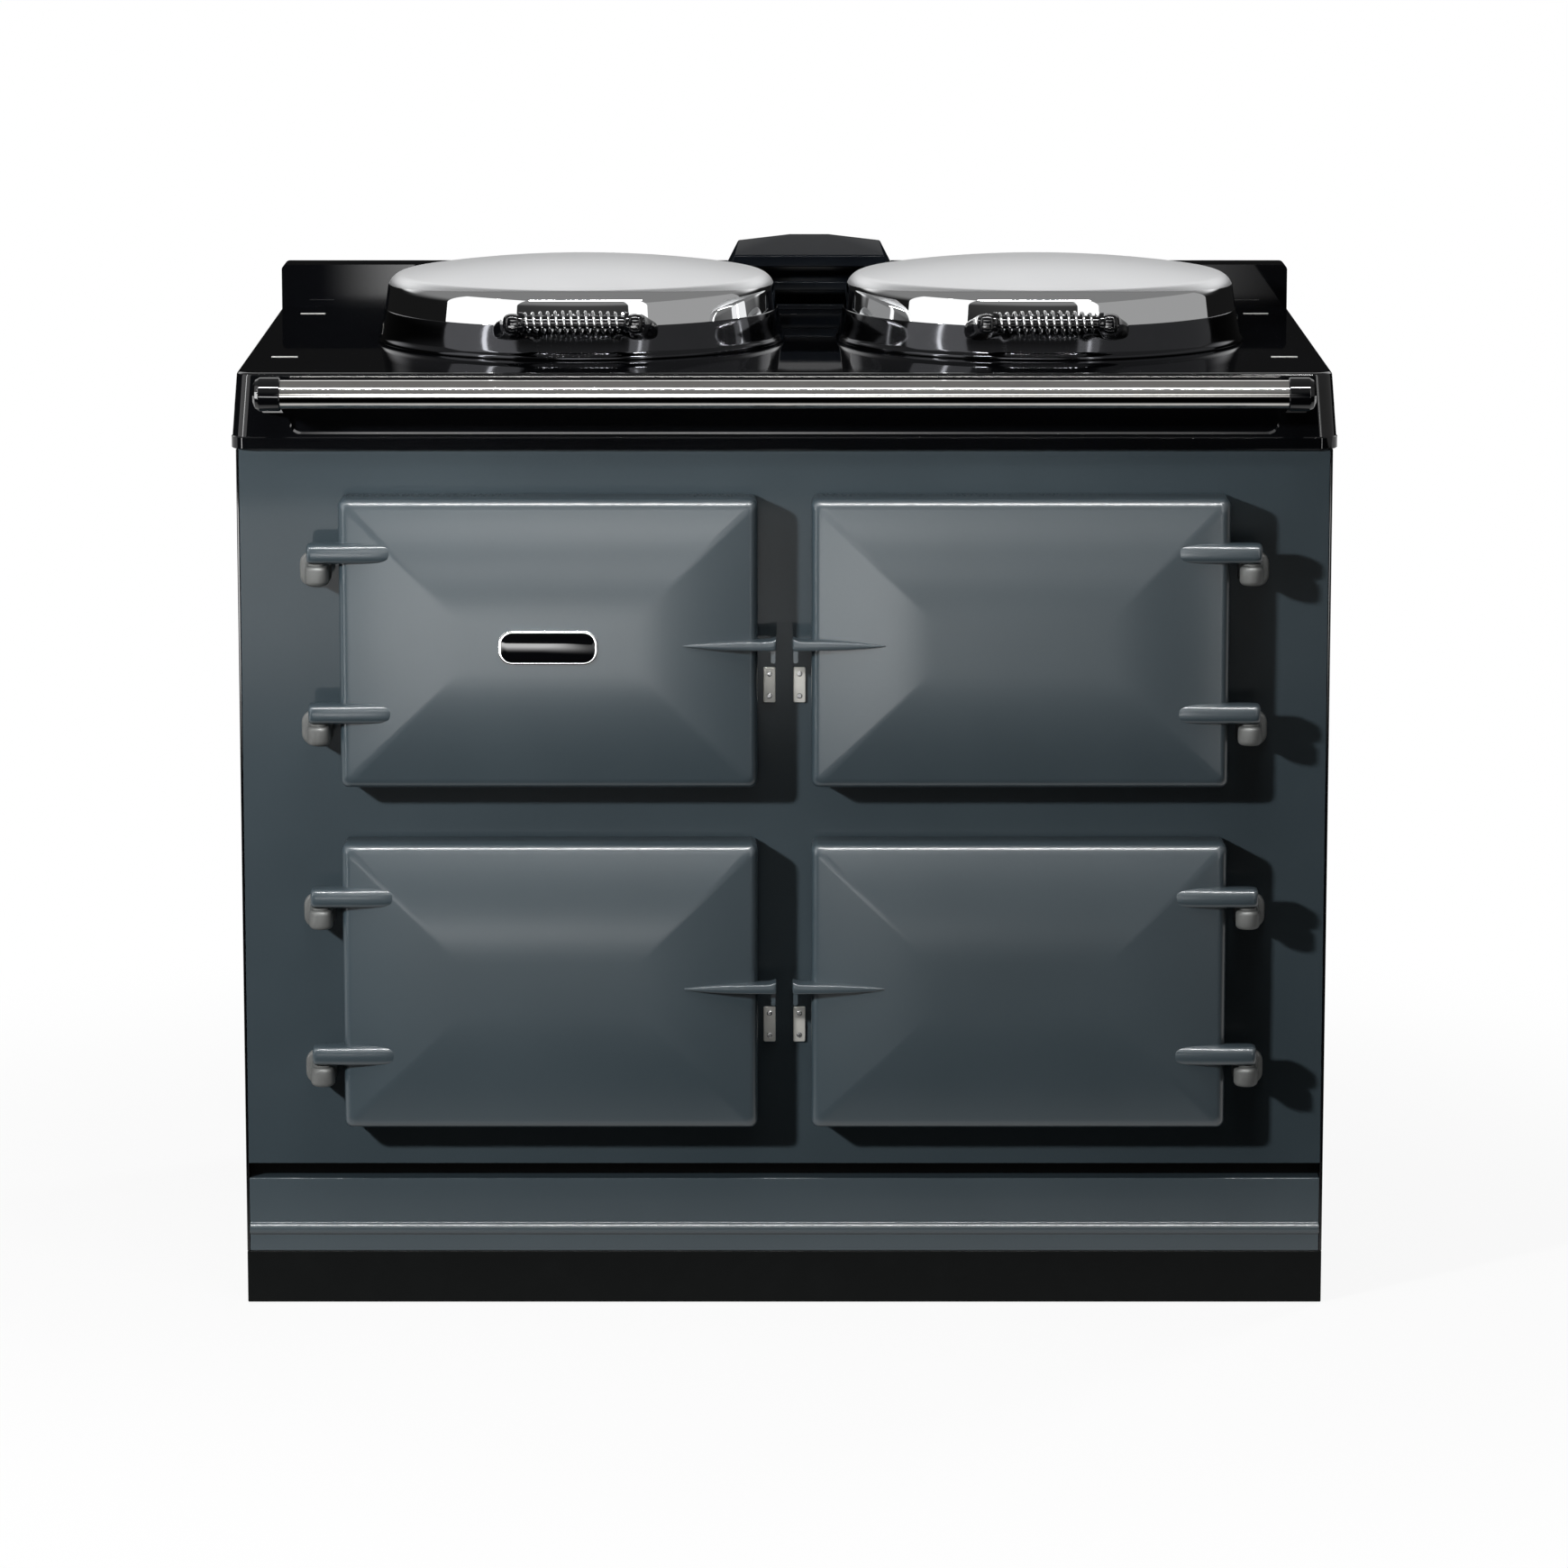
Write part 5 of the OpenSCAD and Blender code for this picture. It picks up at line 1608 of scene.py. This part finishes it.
    def build(self, fitter: Fitter) -> None:
        """Make the lid's pieces and dress what stays.

        Args:
            fitter: Puts the pieces on their bodies.
        """
        for make in (self.dome, self.ring, self.grip, self.coil):
            make(fitter)
        arm = Bench.recast(f"{self.side}_lid_hinge_arm_piece", f"{self.side}_lid_hinge_arm", 1.2)
        fitter.fit(arm, self.body, BLACK, (f"{self.side}_lid_hinge_arm",))
        pan = Turned(
            f"{self.side}_lid_pan", metallic=1.0, centre=metres(self.centre), colour=(0.6, 0.6, 0.61),
            stain=(0.55, 0.545, 0.54), rough=0.3,
        )
        fitter.dress(pan, f"{self.side}_lid_liner")
        iron = Turned(
            f"{self.side}_hotplate_iron", metallic=0.85, centre=metres(self.centre), colour=(0.10, 0.10, 0.105),
            stain=(0.055, 0.05, 0.048), rough=0.4, depth=0.00003,
        )
        fitter.dress(iron, f"{self.side}_hotplate")


# ---------- Cabinet, hob and fittings ----------


@dataclass
class Cabinet:
    """The enamelled cabinet, its plinth, the top casting and the towel rail."""

    rail_y: float = -324.5
    rail_z: float = 839.0
    rail_r: float = 12.5
    rail_half: float = 455.5
    rail_ease: float = 0.4
    # Places of the painted highlights on the hob.
    mark_x: float = 454.0
    mark_y: tuple[float, float] = (232.0, -138.0)

    def recasts(self) -> list[tuple[str, float, Finish, str]]:
        """CAD nodes that get rounded edges.

        Returns:
            Node, edge radius, finish and slot of each.
        """
        return [
            ("front_plate", 1.0, SLATE, "cast_enamel_slate"),
            ("plinth_panel", 0.7, SLATE_DOOR, "slate_enamel"),
            ("plinth_frame", 1.0, PLINTH_BLACK, "plinth_black"),
            ("left_side_panel", 0.8, BLACK, "black_enamel"),
            ("right_side_panel", 0.8, BLACK, "black_enamel"),
            ("top_plate", 1.6, BLACK, "cast_enamel_black"),
            ("vent_cowl", 1.4, COWL_BLACK, "cast_enamel_black"),
            ("left_rail_bracket", 1.6, BLACK, "cast_enamel_black"),
            ("right_rail_bracket", 1.6, BLACK, "cast_enamel_black"),
            ("lid_hinge_bases", 1.0, BLACK, "black_enamel"),
            ("control_panel", 0.4, SHEET, "sheet_steel"),
        ]

    def rail(self, fitter: Fitter) -> None:
        """The polished towel rail.

        Args:
            fitter: Puts the piece on its body.
        """
        half, r, ease = self.rail_half, self.rail_r, self.rail_ease
        end = [(0.8, half), (r - ease, half), (r, half - ease)]
        profile = [(radius, -place) for radius, place in end] + [(r, 0.0)] + end[::-1]
        item = Bench.lathe("towel_rail_piece", (0.0, self.rail_y, self.rail_z), profile, 96, axis="X")
        Bench.shade(item, 30.0)
        fitter.fit(item, "cabinet", RAIL_STEEL, ("towel_rail",))

    def marks(self, fitter: Fitter) -> None:
        """Four small painted highlights on the hob: white strips that stand in for glints of light on the black
        enamel.

        Args:
            fitter: Puts the pieces on their body.
        """
        # Each white block is a painted highlight where light glints on the hob, not a print or trim.
        spots = [(x, y) for y in self.mark_y for x in (-self.mark_x, self.mark_x)]
        for place, (x, y) in enumerate(spots):
            low, high = (x - 12, y - 1.5, AT.hob - 0.3), (x + 12, y + 1.5, AT.hob + 0.5)
            mark = Bench.block(f"hob_mark_{place + 1}", low, high, 0.25, 2)
            Bench.shade(mark, 30.0)
            fitter.fit(mark, "cabinet", PRINT_AND_GLINT_WHITE)

    def build(self, fitter: Fitter) -> None:
        """Recast the main shells and dress the rest.

        Args:
            fitter: Puts the pieces on their bodies.
        """
        for node, ease, finish, slot in self.recasts():
            fitter.fit(Bench.recast(f"{node}_piece", node, ease), "cabinet", finish, (node,))
        self.rail(fitter)
        for kind, finish in (("oven", OVEN_IRON), ("shelf", MIRROR)):
            fitter.dress(finish, *(f"{heat}_{kind}" for heat in ("roasting", "baking", "simmering")))
        fitter.dress(PLINTH_BLACK, "base_panel")
        fitter.dress(ZINC, "back_panel", "control_box", "mains_inlet", "levelling_feet")
        fitter.dress(WOOL, "insulation_core")
        fitter.dress(NICKEL, "door_hinge_pins")
        fitter.dress(MIRROR, "lid_hinge_pins")
        self.marks(fitter)


@dataclass
class Controls:
    """Dial marks on the control panel and a white pointer on each dial."""

    first: float = -318.0
    pitch: float = 72.0
    panel: float = -242.0
    radius: float = 24.0
    ticks: int = 11
    names: tuple[str, ...] = ("roasting", "baking", "simmering", "hotplate")

    def build(self, fitter: Fitter) -> None:
        """Ring each dial with marks, every fifth one larger, and give it a pointer line.

        Args:
            fitter: Puts the pieces on their bodies.
        """
        for place, name in enumerate(self.names):
            x = self.first + place * self.pitch
            marks = []
            for tick in range(self.ticks):
                a = math.radians(225 - 270 * tick / (self.ticks - 1))
                spot = (x + self.radius * math.cos(a), self.panel, AT.door_high + self.radius * math.sin(a))
                size = 3.0 if tick % 5 == 0 else 1.8
                marks.append(Bench.plaque(f"mark_{tick}", spot, size, size, size * 0.49, 0.25, 0.1))
            item = Bench.join(f"{name}_dial_marks", *marks)
            Bench.shade(item, 30.0)
            fitter.fit(item, "cabinet", DIAL)
            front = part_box(f"{name}_knob")[0].y / MM
            low, high = (x - 0.6, front - 0.15, AT.door_high + 2), (x + 0.6, front + 0.4, AT.door_high + 12)
            line = Bench.block(f"{name}_pointer_line", low, high, 0.12, 1)
            fitter.fit(line, f"dial_{name}", PRINT_AND_GLINT_WHITE)
            fitter.dress(DIAL, f"{name}_knob")


# ---------- Studio, in metres ----------

Fade = Callable[[Wire, Wire, Wire], Wire]

# Name, place, aim, width and height, watts.
LAMPS = (
    ("key", (-1.85, -2.3, 1.6), (0.0, -0.3, 0.45), (0.16, 0.16), 72.0),
    ("top", (0.1, 0.2, 2.6), (0.02, 0.1, 0.9), (1.4, 0.8), 9.0),
    ("overhead", (-0.1, -0.95, 2.6), (0.0, -0.35, 0.4), (1.4, 0.3), 16.0),
    ("rear", (2.3, 2.2, 1.9), (0.3, 0.2, 0.5), (0.8, 0.8), 45.0),
)

# Name, start and end of the lower edge, way to the upper edge, brightness.
CARDS = (
    ("strip", (-1.3, -1.70, 2.61), (1.3, -1.70, 2.61), (0.0, 0.08, 0.04), 170.0),
    ("left_card", (-1.48, -1.81, 0.75), (-2.39, -0.31, 0.75), (0.0, 0.0, 1.95), 1.35),
    ("left_strip", (-1.80, -1.22, 0.1), (-1.85, -1.13, 0.1), (0.0, 0.0, 2.4), 14.0),
    ("right_bright_card", (1.06, -2.27, 0.75), (1.5, -2.0, 0.75), (0.0, 0.0, 1.95), 1.35),
    ("right_strip", (1.25, -2.12, 0.1), (1.31, -2.08, 0.1), (0.0, 0.0, 2.4), 8.0),
    ("right_card", (1.5, -2.0, 0.6), (2.3, 0.8, 0.6), (0.0, 0.0, 1.4), 0.4),
)


@dataclass
class Studio:
    """Camera, floor, world, soft lamps and reflector cards."""

    eye: Point = (-0.0004, -6.133, 1.529)
    tilt: float = 10.139
    lens: float = 152.19
    sensor: float = 36.0
    floor_radius: float = 7.0

    def camera(self) -> None:
        """The camera at the photograph's angle."""
        data = bpy.data.cameras.new("camera")
        data.lens = self.lens
        data.sensor_width = self.sensor
        item = Bench.add("camera", data)
        item.location = self.eye
        item.rotation_euler = (math.radians(90.0 - self.tilt), 0.0, 0.0)
        bpy.context.scene.camera = item

    def floor(self) -> None:
        """A white floor that keeps a faint shadow, fades into the backdrop and mirrors dark in front."""
        Bench.clear()
        bpy.ops.mesh.primitive_circle_add(
            vertices=96, radius=self.floor_radius, fill_type="NGON", location=(0.0, 0.0, -0.0005)
        )
        item = Bench.named("studio_floor")
        made = bpy.data.materials.new("studio_floor")
        graph = Graph(made)
        east, north, _ = graph.axes(graph.place())
        path = graph.node("LightPath")
        seen, mirrored = graph.out(path, "Is Camera Ray"), graph.out(path, "Is Glossy Ray")
        near = north.step(-0.8, -0.45)
        share = seen * (east.radius(north).step(0.7, 1.5) * 0.09 + 0.91) + mirrored * near * 0.8
        plain = graph.node("BsdfDiffuse", Color=graph.blend(seen, (0.06, 0.06, 0.06), (0.85, 0.85, 0.85)))
        glow = graph.node("Emission", Color=WHITE, Strength=1.0)
        black = graph.node("Emission", Color=(0.0, 0.0, 0.0), Strength=0.0)
        graph.end(graph.layer(mirrored * (1.0 - near), graph.layer(share, plain, glow), black))
        item.data.materials.append(made)

    def world(self) -> None:
        """White to the camera; to mirrors, bright behind and above the cooker and dark before it."""
        made = bpy.data.worlds.new("studio")
        bpy.context.scene.world = made
        graph = Graph(made)
        _, north, up = graph.axes(graph.node("TexCoord").outputs["Generated"])
        behind = north.step(0.4, 0.75)
        sky = up.step(0.2, 0.32) * (1.42 - up.step(0.42, 0.72) * 1.25)
        ahead = up.step(0.08, 0.45) * 0.24 + 0.01
        shine = behind * (sky * 0.95 + 0.01) + (1.0 - behind) * ahead
        path = graph.node("LightPath")
        kinds = ("Is Camera Ray", "Is Transmission Ray", "Is Glossy Ray")
        seen, through, mirrored = (graph.out(path, kind) for kind in kinds)
        level = seen + through + mirrored * shine + (1.0 - seen - mirrored - through) * 0.01
        graph.end(graph.node("Background", Color=WHITE, Strength=level), "OutputWorld")

    def lamp(self, name: str, spot: Point, aim: Point, size: tuple[float, float], power: float) -> None:
        """A soft rectangular lamp that no mirror shows.

        Args:
            name: Its name.
            spot: Its place.
            aim: The point it faces.
            size: Its width and height.
            power: Its watts.
        """
        data = bpy.data.lights.new(name, "AREA")
        data.shape = "RECTANGLE"
        data.size, data.size_y = size
        data.energy = power
        item = Bench.add(name, data)
        item.location = spot
        item.rotation_euler = (Vector(aim) - Vector(spot)).to_track_quat("-Z", "Y").to_euler()
        item.visible_glossy = False
        item.visible_camera = False

    def card(self, name: str, start: Point, end: Point, rise: Point, level: float, fade: Fade | None = None) -> None:
        """A pale reflector card that only polished surfaces show.

        Args:
            name: Its name.
            start: Start of its lower edge.
            end: End of its lower edge.
            rise: Way from the lower edge to the upper one.
            level: Its brightness.
            fade: Share of the level at a place, where it isn't even.
        """
        mesh = bpy.data.meshes.new(name)
        low, high, up = Vector(start), Vector(end), Vector(rise)
        mesh.from_pydata([low, high, high + up, low + up], [], [(0, 1, 2, 3)])
        made = bpy.data.materials.new(name)
        graph = Graph(made)
        strength = level if fade is None else fade(*graph.axes(graph.place())) * level
        graph.end(graph.node("Emission", Color=WHITE, Strength=strength))
        mesh.materials.append(made)
        item = Bench.add(name, mesh)
        for ray in ("camera", "diffuse", "shadow", "transmission"):
            setattr(item, f"visible_{ray}", False)

    @staticmethod
    def floor_fade(x: Wire, y: Wire, _: Wire) -> Wire:
        """Full on the left and far ahead, faint on the right."""
        across = (1.0 - x.step(-0.35, 0.3) * 0.88) * (1.0 - x.step(0.5, 1.1)) * x.step(-2.6, -2.0)
        return across * (0.0 - y).step(2.9, 4.4)

    @staticmethod
    def front_fade(x: Wire, _: Wire, __: Wire) -> Wire:
        """Full on the left, less on the right, none at both ends."""
        return (1.0 - x.step(-0.1, 0.3) * 0.6) * (1.0 - x.step(0.4, 0.7)) * x.step(-0.6, -0.45)

    def build(self) -> None:
        """Set the camera, the floor, the world, the lamps and the cards."""
        bpy.context.scene.view_settings.view_transform = "Standard"
        self.camera()
        self.floor()
        self.world()
        for lamp in LAMPS:
            self.lamp(*lamp)
        for card in CARDS:
            self.card(*card)
        self.card("floor_glow", (-2.8, -5.6, 0.01), (1.2, -5.6, 0.01), (0.0, 3.0, 0.0), 12.0, self.floor_fade)
        for name, low, tall, level in (("near_glow", 0.69, 0.075, 7.0), ("upper_glow", 0.925, 0.135, 8.0)):
            self.card(name, (-0.6, -1.8, low), (0.75, -1.8, low), (0.0, 0.0, tall), level, self.front_fade)


def main() -> None:
    """Build the studio and every piece of the cooker."""
    logging.basicConfig(level=logging.INFO, format="%(message)s")
    fitter = Fitter()
    Studio().build()
    Cabinet().build(fitter)
    doors = DoorSet()
    doors.build(fitter)
    doors.plate(fitter)
    HingeSet().build(fitter)
    Lid("left", AT.left_lid).build(fitter)
    Lid("right", AT.right_lid).build(fitter)
    Controls().build(fitter)
    Bench.clear()
    LOG.info("%d pieces made", fitter.made)


if __name__ == "__main__":
    main()
